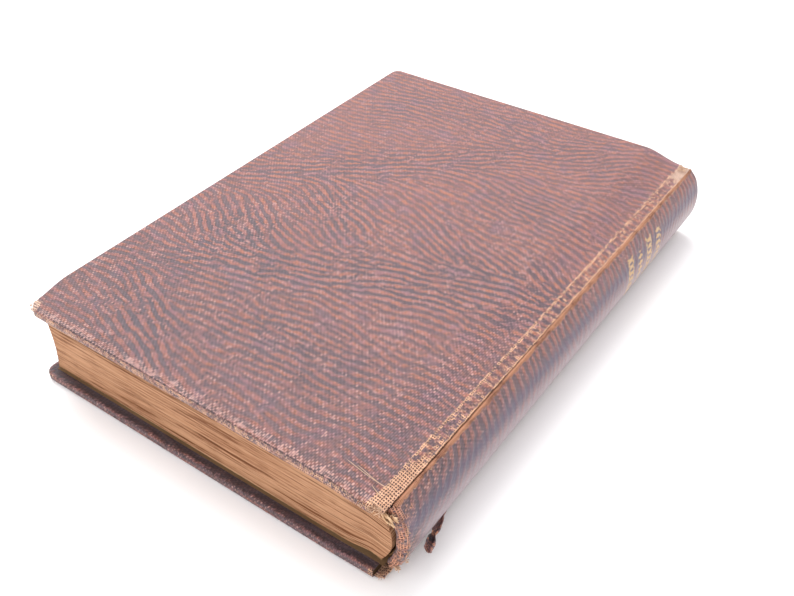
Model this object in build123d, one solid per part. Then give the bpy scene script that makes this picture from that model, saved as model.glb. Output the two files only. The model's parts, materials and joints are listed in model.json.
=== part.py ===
"""A cloth-covered hardback book, lying shut on its front cover.

Frame, in millimetres: +X runs from the fore-edge to the spine, +Y from the
tail to the head, +Z up through the closed book. The origin is the middle of
the book's own box, at the face it lies on. Each piece goes to parts/NAME.step.
"""
from build123d import *
from dataclasses import dataclass
from math import asin, cos, sin, sqrt
import os

# ---- The closed book ------------------------------------------------------
COVER_HEIGHT = 190.0        # head to tail, over the covers
COVER_WIDTH = 127.4         # fore-edge to the joint, over the covers
BOOK_THICKNESS = 30.0       # outside of one cover to outside of the other
JOINT_WIDTH = 3.8           # cloth between a board and the edge of the spine
SPINE_BULGE = 4.3           # how far the spine stands out past its two edges
SPINE_EDGE_DEPTH = 2.6      # a cover's face to the edge of the spine cloth

# ---- Case: boards, cloth and what lines them ------------------------------
BOARD_THICKNESS = 2.1
CLOTH_THICKNESS = 0.35
PASTEDOWN_THICKNESS = 0.15
GAUZE_THICKNESS = 0.2
INLAY_THICKNESS = 0.8       # card that stiffens the spine cloth
TURN_IN = 14.0              # cloth folded over onto the inside of a board
SPINE_TURN_IN = 12.0        # cloth folded in over the ends of the spine card
PASTEDOWN_MARGIN = 3.0      # pastedown short of the board's edges
GAUZE_ON_BOARD = 24.0       # gauze glued down inside each board
LINING_OVERHANG = 1.4       # gauze and pastedown carried past the board's edge
JOINT_DEPTH = 2.0           # a cover's face down to the cloth in the joint
JOINT_SPLIT = 0.45          # gap where the cloth has cracked along the joint
GLUE_LINE = 0.05            # between curved layers that are glued together

# ---- Wear -----------------------------------------------------------------
BOW_START = 14.4            # bowed strip of each board, along the joint
BACK_BOW = 2.1              # how far the back board's joint edge is pressed in
FRONT_BOW = 0.5
HEAD_CORNER_RADIUS = 3.5
WORN_CORNER_RADIUS = 3.0
WORN_CORNER_RUN = 17.0      # worn tail corner: length along the fore-edge
WORN_CORNER_SETBACK = 2.6   # and how far it is worn in
SPINE_TAIL_WEAR = 3.5       # spine cloth lost at the tail

# ---- Sewn pages -----------------------------------------------------------
SQUARE = 3.7                # covers past the pages at head and tail
FORE_SQUARE = 2.8           # covers past the pages at the fore-edge
FORE_HOLLOW = 1.5           # depth of the hollow in the fore-edge
FLYLEAF_THICKNESS = 0.15
COVER_CLEARANCE = 0.3       # air between a flyleaf and the cover over it
SHOULDER_PAST_BOARD = 0.3   # shoulder of the pages past the board's edge
BACK_SHOULDER_GAP = 1.3     # inside of the back cover to the shoulder below
FRONT_SHOULDER_GAP = 0.55
FRONT_SHOULDER_CREASE = 1.1  # the pages dip by this much before the shoulder
CREASE_BACK = 3.6           # the dip's distance from the shoulder
PAGE_BOW = 19.7             # strip of pages that curves towards the shoulder
PAGES_BULGE = 3.3           # round of the sewn back
SPINE_LINING_THICKNESS = 0.35
SPINE_LINING_SHORT = 2.0    # paper lining short of the pages' ends
SHOULDER_MARGIN = 1.0       # gauze and paper lining short of the shoulders
GAUZE_SHORT = 16.0          # gauze short of the covers' ends
THREAD_WIDTH = 1.0
THREAD_DEPTH = 0.4
THREAD_ROWS = 8
THREAD_END_GAP = 12.0       # first row of sewing to the end of the pages
THREAD_SHOULDER_GAP = 2.4   # sewing short of the shoulders

# ---- Worked out -----------------------------------------------------------
OVERALL_WIDTH = COVER_WIDTH + JOINT_WIDTH + SPINE_BULGE
FORE_EDGE_X = -OVERALL_WIDTH / 2
JOINT_X = FORE_EDGE_X + COVER_WIDTH
SPINE_EDGE_X = JOINT_X + JOINT_WIDTH
TAIL_Y = -COVER_HEIGHT / 2
HEAD_Y = COVER_HEIGHT / 2
BOARD_INNER_DEPTH = CLOTH_THICKNESS + BOARD_THICKNESS
TURN_IN_DEPTH = BOARD_INNER_DEPTH + CLOTH_THICKNESS
COVER_DEPTH = TURN_IN_DEPTH + PASTEDOWN_THICKNESS
PAGES_DEPTH = COVER_DEPTH + COVER_CLEARANCE + FLYLEAF_THICKNESS
PAGES_TAIL_Y = TAIL_Y + SQUARE
PAGES_HEAD_Y = HEAD_Y - SQUARE
PAGES_FORE_X = FORE_EDGE_X + FORE_SQUARE
SHOULDER_X = JOINT_X + SHOULDER_PAST_BOARD
PAST_THE_SOLID = 1.0        # extra length of a cutting tool


@dataclass(frozen=True)
class Side:
    """One cover and the side of the pages under it."""

    face_z: float           # the cover's outside face
    inward: int             # +1 where inward is up, -1 where it is down
    bow: float              # how far the board's joint edge is pressed in
    shoulder_gap: float     # inside of the cover to the shoulder of the pages
    crease: float           # dip in the pages before the shoulder
    worn_corner: bool       # tail corner at the fore-edge worn away

    def z(self, depth):
        """Return the height that lies at a depth under the cover's face."""
        return self.face_z + self.inward * depth

    def shoulder_depth(self):
        """Return the depth of the pages' shoulder."""
        return COVER_DEPTH + self.bow + self.shoulder_gap


BACK = Side(BOOK_THICKNESS, -1, BACK_BOW, BACK_SHOULDER_GAP, 0.0, True)
FRONT = Side(0.0, 1, FRONT_BOW, FRONT_SHOULDER_GAP, FRONT_SHOULDER_CREASE, False)


# ---- Outlines and prisms --------------------------------------------------
def prism(outline, tail, head):
    """Run a closed outline, drawn in X and Z, along Y from tail to head."""
    plane = Plane(origin=(0, tail, 0), x_dir=(1, 0, 0), z_dir=(0, -1, 0))
    return extrude(plane * make_face(outline), amount=head - tail, dir=(0, 1, 0))


def easing_drop(run, full_run, full_drop):
    """Return the drop, after a run, of an arc that leaves level ground."""
    radius = (full_run**2 + full_drop**2) / (2 * full_drop)
    return radius - sqrt(radius**2 - run**2)


def bowed_line(side, start_x, end_x, depth, bow_run, bow_end_x, bow):
    """Draw a level line that bows inward over a run, which ends at the joint."""
    bow_start_x = bow_end_x - bow_run

    def point(x):
        drop = easing_drop(max(x - bow_start_x, 0), bow_run, bow)
        return (x, side.z(depth + drop))

    line = []
    if start_x < bow_start_x:
        line.append(Line(point(start_x), point(min(end_x, bow_start_x))))
    if end_x > bow_start_x:
        arc_start_x = max(start_x, bow_start_x)
        middle_x = (arc_start_x + end_x) / 2
        line.append(ThreePointArc(point(arc_start_x), point(middle_x), point(end_x)))
    return line


def closed_between(lower, upper):
    """Close two lines of edges, which run the same way, into an outline."""
    start = Line(lower[0] @ 0, upper[0] @ 0)
    end = Line(lower[-1] @ 1, upper[-1] @ 1)
    return Curve() + [start, *lower, end, *upper]


def cover_layer(side, start_x, end_x, outer_depth, inner_depth, tail, head):
    """Build one layer of a cover, between two depths under its face."""
    bow = (BOW_START, JOINT_X, side.bow)
    outer = bowed_line(side, start_x, end_x, outer_depth, *bow)
    inner = bowed_line(side, start_x, end_x, inner_depth, *bow)
    return prism(closed_between(outer, inner), tail, head)


def fore_corner(plan, place):
    """Return a corner of the fore-edge by its place, counted from the tail."""
    return plan.vertices().filter_by(lambda v: v.X < 0).sort_by(Axis.Y)[place]


def cover_plan(side, inset):
    """Build the upright prism of a cover's outline, set in all round."""
    fore = FORE_EDGE_X + inset
    tail = TAIL_Y + inset
    head = HEAD_Y - inset
    far = SPINE_EDGE_X + PAST_THE_SOLID
    corners = [(fore, head), (far, head), (far, tail)]
    if side.worn_corner:
        corners += [(fore + WORN_CORNER_SETBACK, tail), (fore, tail + WORN_CORNER_RUN)]
    else:
        corners += [(fore, tail)]
    plan = make_face(Polyline(*corners, close=True))
    tail_radius = WORN_CORNER_RADIUS if side.worn_corner else HEAD_CORNER_RADIUS
    plan = fillet(fore_corner(plan, -1), HEAD_CORNER_RADIUS - inset)
    plan = fillet(fore_corner(plan, 0), tail_radius - inset)
    height = BOOK_THICKNESS + 2 * PAST_THE_SOLID
    return extrude(Pos(0, 0, -PAST_THE_SOLID) * plan, amount=height)


# ---- The case -------------------------------------------------------------
def board(side):
    """Build the millboard of one cover."""
    layer = cover_layer(
        side,
        FORE_EDGE_X + CLOTH_THICKNESS,
        JOINT_X,
        CLOTH_THICKNESS,
        BOARD_INNER_DEPTH,
        TAIL_Y + CLOTH_THICKNESS,
        HEAD_Y - CLOTH_THICKNESS,
    )
    return layer & cover_plan(side, CLOTH_THICKNESS)


def turn_in_window(side):
    """Build the space, inside a cover, that the turned-in cloth leaves bare."""
    return cover_layer(
        side,
        FORE_EDGE_X + TURN_IN,
        JOINT_X + PAST_THE_SOLID,
        BOARD_INNER_DEPTH,
        TURN_IN_DEPTH + PAST_THE_SOLID,
        TAIL_Y + TURN_IN,
        HEAD_Y - TURN_IN,
    )


def joint_strip(side):
    """Build the cloth that crosses the joint, up to where it has cracked."""
    end_x = SPINE_EDGE_X - JOINT_SPLIT
    corners = [
        (JOINT_X, side.z(side.bow)),
        (end_x, side.z(JOINT_DEPTH)),
        (end_x, side.z(JOINT_DEPTH + CLOTH_THICKNESS)),
        (JOINT_X, side.z(side.bow + CLOTH_THICKNESS)),
    ]
    return prism(Polyline(*corners, close=True), TAIL_Y, HEAD_Y)


def cover_cloth(side):
    """Build the cloth of one cover: face, three turned-in edges and joint."""
    wrapped = cover_layer(side, FORE_EDGE_X, JOINT_X, 0, TURN_IN_DEPTH, TAIL_Y, HEAD_Y)
    wrapped = wrapped & cover_plan(side, 0)
    return wrapped - board(side) - turn_in_window(side) + joint_strip(side)


def gauze_flange(side):
    """Build the gauze glued inside a board, carried into the joint."""
    return cover_layer(
        side,
        JOINT_X - GAUZE_ON_BOARD,
        JOINT_X + LINING_OVERHANG,
        BOARD_INNER_DEPTH,
        BOARD_INNER_DEPTH + GAUZE_THICKNESS,
        TAIL_Y + GAUZE_SHORT,
        HEAD_Y - GAUZE_SHORT,
    )


def pastedown(side):
    """Build the endpaper pasted inside a board, over cloth and gauze."""
    sheet_start = FORE_EDGE_X + PASTEDOWN_MARGIN
    sheet_end = JOINT_X + LINING_OVERHANG
    sheet_tail = TAIL_Y + PASTEDOWN_MARGIN
    sheet_head = HEAD_Y - PASTEDOWN_MARGIN
    step = PASTEDOWN_THICKNESS
    raised = BOARD_INNER_DEPTH + GAUZE_THICKNESS
    sheet = cover_layer(
        side, sheet_start, sheet_end, BOARD_INNER_DEPTH, COVER_DEPTH, sheet_tail, sheet_head
    )
    over_cloth = cover_layer(
        side, sheet_start - step, sheet_end + step, BOARD_INNER_DEPTH, TURN_IN_DEPTH,
        sheet_tail - step, sheet_head + step,
    )
    bare_board = cover_layer(
        side, FORE_EDGE_X + TURN_IN + step, JOINT_X - GAUZE_ON_BOARD - step,
        BOARD_INNER_DEPTH + step, COVER_DEPTH + step, TAIL_Y + TURN_IN + step,
        HEAD_Y - TURN_IN - step,
    )
    over_gauze = cover_layer(
        side, JOINT_X - GAUZE_ON_BOARD - 2 * step, sheet_end + step,
        raised + step, COVER_DEPTH + step, TAIL_Y + GAUZE_SHORT, HEAD_Y - GAUZE_SHORT,
    )
    past_gauze = cover_layer(
        side, JOINT_X - GAUZE_ON_BOARD, sheet_end + step, BOARD_INNER_DEPTH, raised,
        TAIL_Y + GAUZE_SHORT, HEAD_Y - GAUZE_SHORT,
    )
    turned_in = over_cloth - turn_in_window(side)
    return sheet - turned_in - bare_board - over_gauze - past_gauze


# ---- The round of the spine -----------------------------------------------
@dataclass(frozen=True)
class Round:
    """A round seen from the tail: centre, radius and half its angle."""

    centre_x: float
    centre_z: float
    radius: float
    half_angle: float

    def point(self, radius, angle):
        """Return the point at a radius and an angle from +X."""
        return (self.centre_x + radius * cos(angle), self.centre_z + radius * sin(angle))

    def ring(self, inner, outer, short, tail, head):
        """Build a curved strip between two radii, short of the round's ends."""
        reach = self.half_angle - short / self.radius
        outside = ThreePointArc(*[self.point(outer, turn * reach) for turn in (-1, 0, 1)])
        inside = ThreePointArc(*[self.point(inner, turn * reach) for turn in (-1, 0, 1)])
        return prism(closed_between([inside], [outside]), tail, head)


def round_between(edge_x, low_z, high_z, bulge):
    """Return the round that stands out by a bulge between two edges."""
    half = (high_z - low_z) / 2
    radius = (half**2 + bulge**2) / (2 * bulge)
    return Round(edge_x + bulge - radius, (high_z + low_z) / 2, radius, asin(half / radius))


SPINE_ROUND = round_between(
    SPINE_EDGE_X, FRONT.z(SPINE_EDGE_DEPTH), BACK.z(SPINE_EDGE_DEPTH), SPINE_BULGE
)
PAGES_ROUND = round_between(
    SHOULDER_X, FRONT.z(FRONT.shoulder_depth()), BACK.z(BACK.shoulder_depth()), PAGES_BULGE
)
INLAY_OUTER = SPINE_ROUND.radius - CLOTH_THICKNESS - GLUE_LINE
INLAY_INNER = INLAY_OUTER - INLAY_THICKNESS
SPINE_TAIL_Y = TAIL_Y + SPINE_TAIL_WEAR
GAUZE_RADIUS = PAGES_ROUND.radius + GLUE_LINE
LINING_RADIUS = GAUZE_RADIUS + GAUZE_THICKNESS + GLUE_LINE


def spine_cloth():
    """Build the cloth over the spine, turned in over both ends of the card."""
    outer = SPINE_ROUND.radius
    fold_outer = INLAY_INNER - GLUE_LINE
    fold_inner = fold_outer - CLOTH_THICKNESS
    face = SPINE_ROUND.ring(outer - CLOTH_THICKNESS, outer, 0, SPINE_TAIL_Y, HEAD_Y)
    cloth = face
    for end, into in ((SPINE_TAIL_Y, 1), (HEAD_Y, -1)):
        cap = sorted((end, end + into * CLOTH_THICKNESS))
        fold = sorted((end, end + into * SPINE_TURN_IN))
        cloth = cloth + SPINE_ROUND.ring(fold_inner, outer, 0, *cap)
        cloth = cloth + SPINE_ROUND.ring(fold_inner, fold_outer, 0, *fold)
    return cloth


def spine_inlay():
    """Build the card that stiffens the spine, inside its folded cloth."""
    end_gap = CLOTH_THICKNESS + GLUE_LINE
    tail = SPINE_TAIL_Y + end_gap
    return SPINE_ROUND.ring(INLAY_INNER, INLAY_OUTER, end_gap, tail, HEAD_Y - end_gap)


def spine_gauze():
    """Build the gauze glued to the sewn back of the pages."""
    outer = GAUZE_RADIUS + GAUZE_THICKNESS
    tail, head = TAIL_Y + GAUZE_SHORT, HEAD_Y - GAUZE_SHORT
    return PAGES_ROUND.ring(GAUZE_RADIUS, outer, SHOULDER_MARGIN, tail, head)


def spine_lining():
    """Build the paper glued over the gauze."""
    outer = LINING_RADIUS + SPINE_LINING_THICKNESS
    tail, head = PAGES_TAIL_Y + SPINE_LINING_SHORT, PAGES_HEAD_Y - SPINE_LINING_SHORT
    return PAGES_ROUND.ring(LINING_RADIUS, outer, SHOULDER_MARGIN, tail, head)


# ---- The sewn pages -------------------------------------------------------
def page_line(side, lift):
    """Draw the outside leaf of the pages, lifted towards the cover."""
    depth = PAGES_DEPTH - lift
    shoulder = side.shoulder_depth() - lift
    if side.crease == 0:
        run = (PAGE_BOW, SHOULDER_X, shoulder - depth)
        return bowed_line(side, PAGES_FORE_X, SHOULDER_X, depth, *run)
    bow_start_x = SHOULDER_X - PAGE_BOW
    crease_x = SHOULDER_X - CREASE_BACK
    level = Line((PAGES_FORE_X, side.z(depth)), (bow_start_x, side.z(depth)))
    dip = Spline(
        (bow_start_x, side.z(depth)),
        (crease_x, side.z(shoulder + side.crease)),
        (SHOULDER_X, side.z(shoulder)),
        tangents=[(1, 0), (1, -side.inward * side.crease / (CREASE_BACK / 2))],
    )
    return [level, dip]


def thread_grooves(clearance):
    """Build the rows of sewing across the back, grown by a clearance."""
    span = PAGES_HEAD_Y - PAGES_TAIL_Y - 2 * THREAD_END_GAP
    half = THREAD_WIDTH / 2 + clearance
    rows = []
    for row in range(THREAD_ROWS):
        y = PAGES_TAIL_Y + THREAD_END_GAP + span * row / (THREAD_ROWS - 1)
        inner = PAGES_ROUND.radius - THREAD_DEPTH - clearance
        outer = PAGES_ROUND.radius if clearance == 0 else PAGES_ROUND.radius + PAST_THE_SOLID
        short = THREAD_SHOULDER_GAP - clearance
        rows.append(PAGES_ROUND.ring(inner, outer, short, y - half, y + half))
    return rows


def text_block():
    """Build the sewn pages, rounded and backed, with a hollow fore-edge."""
    top = page_line(BACK, 0)
    bottom = page_line(FRONT, 0)
    low = bottom[0] @ 0
    high = top[0] @ 0
    hollow = ThreePointArc(low, (PAGES_FORE_X + FORE_HOLLOW, (low.Y + high.Y) / 2), high)
    sewn_back = ThreePointArc(
        bottom[-1] @ 1, PAGES_ROUND.point(PAGES_ROUND.radius, 0), top[-1] @ 1
    )
    pages = prism(Curve() + [hollow, *top, sewn_back, *bottom], PAGES_TAIL_Y, PAGES_HEAD_Y)
    for groove in thread_grooves(GLUE_LINE):
        pages = pages - groove
    return pages


def flyleaf(side):
    """Build the free endpaper that lies on the pages."""
    outline = closed_between(page_line(side, 0), page_line(side, FLYLEAF_THICKNESS))
    return prism(outline, PAGES_TAIL_Y, PAGES_HEAD_Y)


# ---- The whole book -------------------------------------------------------
def book():
    """Return every piece of the book by name."""
    pieces = {
        "text_block": text_block(),
        "sewing_threads": Compound(children=thread_grooves(0)),
        "spine_gauze": spine_gauze(),
        "spine_lining": spine_lining(),
        "spine_inlay": spine_inlay(),
        "spine_cloth": spine_cloth(),
    }
    for name, side in (("front", FRONT), ("back", BACK)):
        pieces[f"{name}_board"] = board(side)
        pieces[f"{name}_cloth"] = cover_cloth(side)
        pieces[f"{name}_gauze_flange"] = gauze_flange(side)
        pieces[f"{name}_pastedown"] = pastedown(side)
        pieces[f"{name}_flyleaf"] = flyleaf(side)
    return pieces


os.makedirs("parts", exist_ok=True)
for piece_name, piece in book().items():
    export_step(piece, f"parts/{piece_name}.step")
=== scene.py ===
"""The looks of a worn, cloth-covered hardback book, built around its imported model.

Every length is in metres in the model's own frame: +X runs from the fore-edge
to the spine, +Y from the tail to the head and +Z up through the shut book.
Cloth and leaf coordinates, which the finishes read, are in millimetres.
"""

import json
import logging
import math
from dataclasses import dataclass, field
from enum import Enum
from typing import Callable, Optional, Sequence, Union

import bpy
import numpy as np
from mathutils import Matrix, Vector


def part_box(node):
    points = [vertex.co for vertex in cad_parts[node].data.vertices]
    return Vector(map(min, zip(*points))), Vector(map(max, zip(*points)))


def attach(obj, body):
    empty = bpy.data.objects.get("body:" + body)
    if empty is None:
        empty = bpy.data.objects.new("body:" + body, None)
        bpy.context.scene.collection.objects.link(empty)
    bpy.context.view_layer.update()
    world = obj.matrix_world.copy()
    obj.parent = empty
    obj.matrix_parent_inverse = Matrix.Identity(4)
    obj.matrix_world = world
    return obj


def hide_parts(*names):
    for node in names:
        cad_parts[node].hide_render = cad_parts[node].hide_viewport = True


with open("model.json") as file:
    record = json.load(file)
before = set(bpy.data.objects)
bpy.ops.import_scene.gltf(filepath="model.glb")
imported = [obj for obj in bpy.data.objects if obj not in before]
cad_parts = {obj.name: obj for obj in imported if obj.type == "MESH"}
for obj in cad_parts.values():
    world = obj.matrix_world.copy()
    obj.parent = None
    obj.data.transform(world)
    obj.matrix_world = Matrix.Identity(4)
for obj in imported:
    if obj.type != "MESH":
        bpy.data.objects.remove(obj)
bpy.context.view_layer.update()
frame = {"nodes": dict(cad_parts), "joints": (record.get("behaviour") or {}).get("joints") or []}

MM = 0.001
Colour = tuple[float, float, float]
Array = np.ndarray
log = logging.getLogger("book")


# ---------------------------------------------------------------------------
# Small helpers
# ---------------------------------------------------------------------------
def srgb(red: int, green: int, blue: int) -> Colour:
    """Turn a display colour into a linear one.

    Args:
        red, green, blue: display values from 0 to 255.

    Returns:
        The linear colour, each part from 0 to 1.
    """
    def linear(value: int) -> float:
        """Turn one display value into a linear one."""
        part = value / 255
        return part / 12.92 if part <= 0.04045 else ((part + 0.055) / 1.055) ** 2.4

    return (linear(red), linear(green), linear(blue))


def ease(value: Array, low: float, high: float) -> Array:
    """Rise smoothly from 0 at low to 1 at high.

    Args:
        value: where to evaluate the rise.
        low: where it starts.
        high: where it ends, which may be under low for a fall.

    Returns:
        The eased share, from 0 to 1.
    """
    share = np.clip((value - low) / (high - low), 0, 1)
    return share * share * (3 - 2 * share)


def mound(value: Array, middle: Union[Array, float], reach: float) -> Array:
    """Return a smooth bump of height 1 at middle that fades over reach."""
    return np.exp(-(((value - middle) / reach) ** 2))


@dataclass(frozen=True)
class Unevenness:
    """Smooth seeded noise from -1 to 1, for shapes that aren't quite regular."""

    seed: int
    cells: int = 512

    def line(self, place: Array, wavelength: float) -> Array:
        """Return noise along a line.

        Args:
            place: distances along the line.
            wavelength: the distance between two swings.

        Returns:
            Noise from -1 to 1, one value for each place.
        """
        lattice = np.random.default_rng(self.seed).uniform(-1, 1, self.cells)
        at = np.asarray(place) / wavelength
        cell = np.floor(at).astype(int)
        share = ease(at - cell, 0, 1)
        return lattice[cell % self.cells] * (1 - share) + lattice[(cell + 1) % self.cells] * share

    def area(self, x: Array, y: Array, wavelength: float, stretch: float = 1.0) -> Array:
        """Return noise over a surface.

        Args:
            x, y: places on the surface.
            wavelength: the distance between two swings along y.
            stretch: how many times longer the swings are along x.

        Returns:
            Noise from -1 to 1, one value for each place.
        """
        lattice = np.random.default_rng(self.seed).uniform(-1, 1, (self.cells, self.cells))
        across = np.asarray(x) / (wavelength * stretch)
        along = np.asarray(y) / wavelength
        column, row = np.floor(across).astype(int), np.floor(along).astype(int)
        right, up = ease(across - column, 0, 1), ease(along - row, 0, 1)

        def knot(step_x: int, step_y: int) -> Array:
            """Return the value at a corner of each place's cell."""
            return lattice[(row + step_y) % self.cells, (column + step_x) % self.cells]

        low = knot(0, 0) * (1 - right) + knot(1, 0) * right
        high = knot(0, 1) * (1 - right) + knot(1, 1) * right
        return low * (1 - up) + high * up


# ---------------------------------------------------------------------------
# Meshes
# ---------------------------------------------------------------------------
@dataclass
class Surface:
    """A mesh under construction: points, faces, map coordinates and attributes."""

    points: list[Array] = field(default_factory=list)
    faces: list[Array] = field(default_factory=list)
    maps: list[Array] = field(default_factory=list)
    marks: dict[str, list[Array]] = field(default_factory=dict)
    count: int = 0

    def add(self, points: Array, maps: Array, **marks: Array) -> Array:
        """Add points.

        Args:
            points: positions, the last axis of length 3.
            maps: map coordinates in millimetres, the last axis of length 2.
            marks: one value a point for each named attribute.

        Returns:
            The indices of the new points, in the shape of the input.
        """
        shape = points.shape[:-1]
        size = int(np.prod(shape))
        self.points.append(points.reshape(-1, 3))
        self.maps.append(maps.reshape(-1, 2))
        for name, values in marks.items():
            self.marks.setdefault(name, []).append(np.broadcast_to(values, shape).reshape(-1))
        indices = np.arange(self.count, self.count + size).reshape(shape)
        self.count += size
        return indices

    def skin(self, indices: Array, flip: bool = False) -> None:
        """Join a grid of points into four-sided faces.

        Args:
            indices: the points' indices, in rows and columns.
            flip: turn the faces over.
        """
        quads = np.stack(
            [indices[:-1, :-1], indices[:-1, 1:], indices[1:, 1:], indices[1:, :-1]], -1
        ).reshape(-1, 4)
        self.faces.append(quads[:, ::-1] if flip else quads)

    def build(self, name: str, material: bpy.types.Material, smooth: bool = True) -> bpy.types.Object:
        """Make the Blender object.

        Args:
            name: the piece's name.
            material: its finish.
            smooth: shade it smooth.

        Returns:
            The new object, linked to the scene.
        """
        mesh = bpy.data.meshes.new(name)
        faces = np.concatenate(self.faces)
        mesh.from_pydata(np.concatenate(self.points).tolist(), [], faces.tolist())
        corners = np.zeros(len(mesh.loops), int)
        mesh.loops.foreach_get("vertex_index", corners)
        layer = mesh.uv_layers.new(name="cloth")
        maps = np.concatenate(self.maps)[corners].astype(np.float32)
        layer.data.foreach_set("uv", maps.ravel())
        for mark, values in self.marks.items():
            attribute = mesh.attributes.new(mark, "FLOAT", "POINT")
            attribute.data.foreach_set("value", np.concatenate(values).astype(np.float32))
        mesh.materials.append(material)
        mesh.polygons.foreach_set("use_smooth", np.full(len(mesh.polygons), smooth))
        mesh.validate()
        made = bpy.data.objects.new(name, mesh)
        bpy.context.scene.collection.objects.link(made)
        return made


def thicken(piece: bpy.types.Object, thickness: float) -> None:
    """Give a sheet its thickness, inward from its face.

    Args:
        piece: the sheet.
        thickness: in metres.
    """
    solid = piece.modifiers.new("thickness", "SOLIDIFY")
    solid.thickness = thickness
    solid.offset = -1
    solid.use_even_offset = False


def tubes(surface: Surface, paths: Sequence[Array], radius: float, shades: Array, sides: int = 5) -> None:
    """Add round threads to a surface.

    Args:
        surface: the mesh to add to.
        paths: the middle line of each thread, two or more points each.
        radius: half a thread's thickness; the ends are thinner.
        shades: one value a thread, for the attribute named shade.
        sides: how many sides a thread has round it.
    """
    turn = np.linspace(0, 2 * math.pi, sides, endpoint=False)
    for path, shade in zip(paths, shades):
        along = np.gradient(path, axis=0)
        along /= np.linalg.norm(along, axis=1, keepdims=True) + 1e-12
        side = np.cross(along, (0.13, 0.21, 0.97))
        side /= np.linalg.norm(side, axis=1, keepdims=True) + 1e-12
        over = np.cross(side, along)
        taper = np.ones(len(path))
        taper[[0, -1]] = 0.45
        ring = side[:, None] * np.cos(turn)[None, :, None] + over[:, None] * np.sin(turn)[None, :, None]
        points = path[:, None] + ring * (radius * taper)[:, None, None]
        length = np.concatenate([[0], np.cumsum(np.linalg.norm(np.diff(path, axis=0), axis=1))])
        maps = np.stack(np.broadcast_arrays(length[:, None] / MM, turn[None] * 0.1), -1)
        rows = surface.add(points, maps, shade=shade)
        surface.skin(np.concatenate([rows, rows[:, :1]], 1))
        surface.faces.append(rows[0][None, [0, 1, 2, 3]])
        surface.faces.append(rows[-1][None, [3, 2, 1, 0]])


# ---------------------------------------------------------------------------
# Shader expressions
# ---------------------------------------------------------------------------
def _maths(operation: str, reflected: bool = False) -> Callable[["Wire", "Number"], "Wire"]:
    """Make a method of Wire that adds one Math node.

    Args:
        operation: what the node does.
        reflected: put the other value first, as in 1 - mask.

    Returns:
        The method, which takes the other value and returns the result.
    """
    def method(self: "Wire", other: "Number") -> "Wire":
        """Return the operation on self and other."""
        return self.math(operation, other, self) if reflected else self.math(operation, self, other)

    return method


class Wire:
    """An output of a node, with arithmetic that adds Math nodes."""

    def __init__(self, tree: "Tree", socket: bpy.types.NodeSocket) -> None:
        """Wrap one output socket of a tree."""
        self.tree = tree
        self.socket = socket

    def math(self, operation: str, *values: "Number") -> "Wire":
        """Add a Math node on these values."""
        return self.tree.node("ShaderNodeMath", {"operation": operation}, dict(enumerate(values)))

    __add__ = _maths("ADD")
    __radd__ = _maths("ADD", reflected=True)
    __sub__ = _maths("SUBTRACT")
    __rsub__ = _maths("SUBTRACT", reflected=True)
    __mul__ = _maths("MULTIPLY")
    __rmul__ = _maths("MULTIPLY", reflected=True)
    __truediv__ = _maths("DIVIDE")
    __pow__ = _maths("POWER")
    most = _maths("MAXIMUM")

    def __abs__(self) -> "Wire":
        """Return the size of self."""
        return self.math("ABSOLUTE", self)

    def sine(self) -> "Wire":
        """Return the sine of self, in radians."""
        return self.math("SINE", self)

    def floor(self) -> "Wire":
        """Return self rounded down."""
        return self.math("FLOOR", self)

    def ease(self, low: float, high: float) -> "Wire":
        """Return a smooth rise from 0 at low to 1 at high."""
        values = {"Value": self, "From Min": min(low, high), "From Max": max(low, high)}
        if low > high:
            values.update({"To Min": 1.0, "To Max": 0.0})
        return self.tree.node("ShaderNodeMapRange", {"interpolation_type": "SMOOTHSTEP"}, values)


Number = Union[Wire, float, int]
Tint = Union[Wire, Colour]


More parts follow.
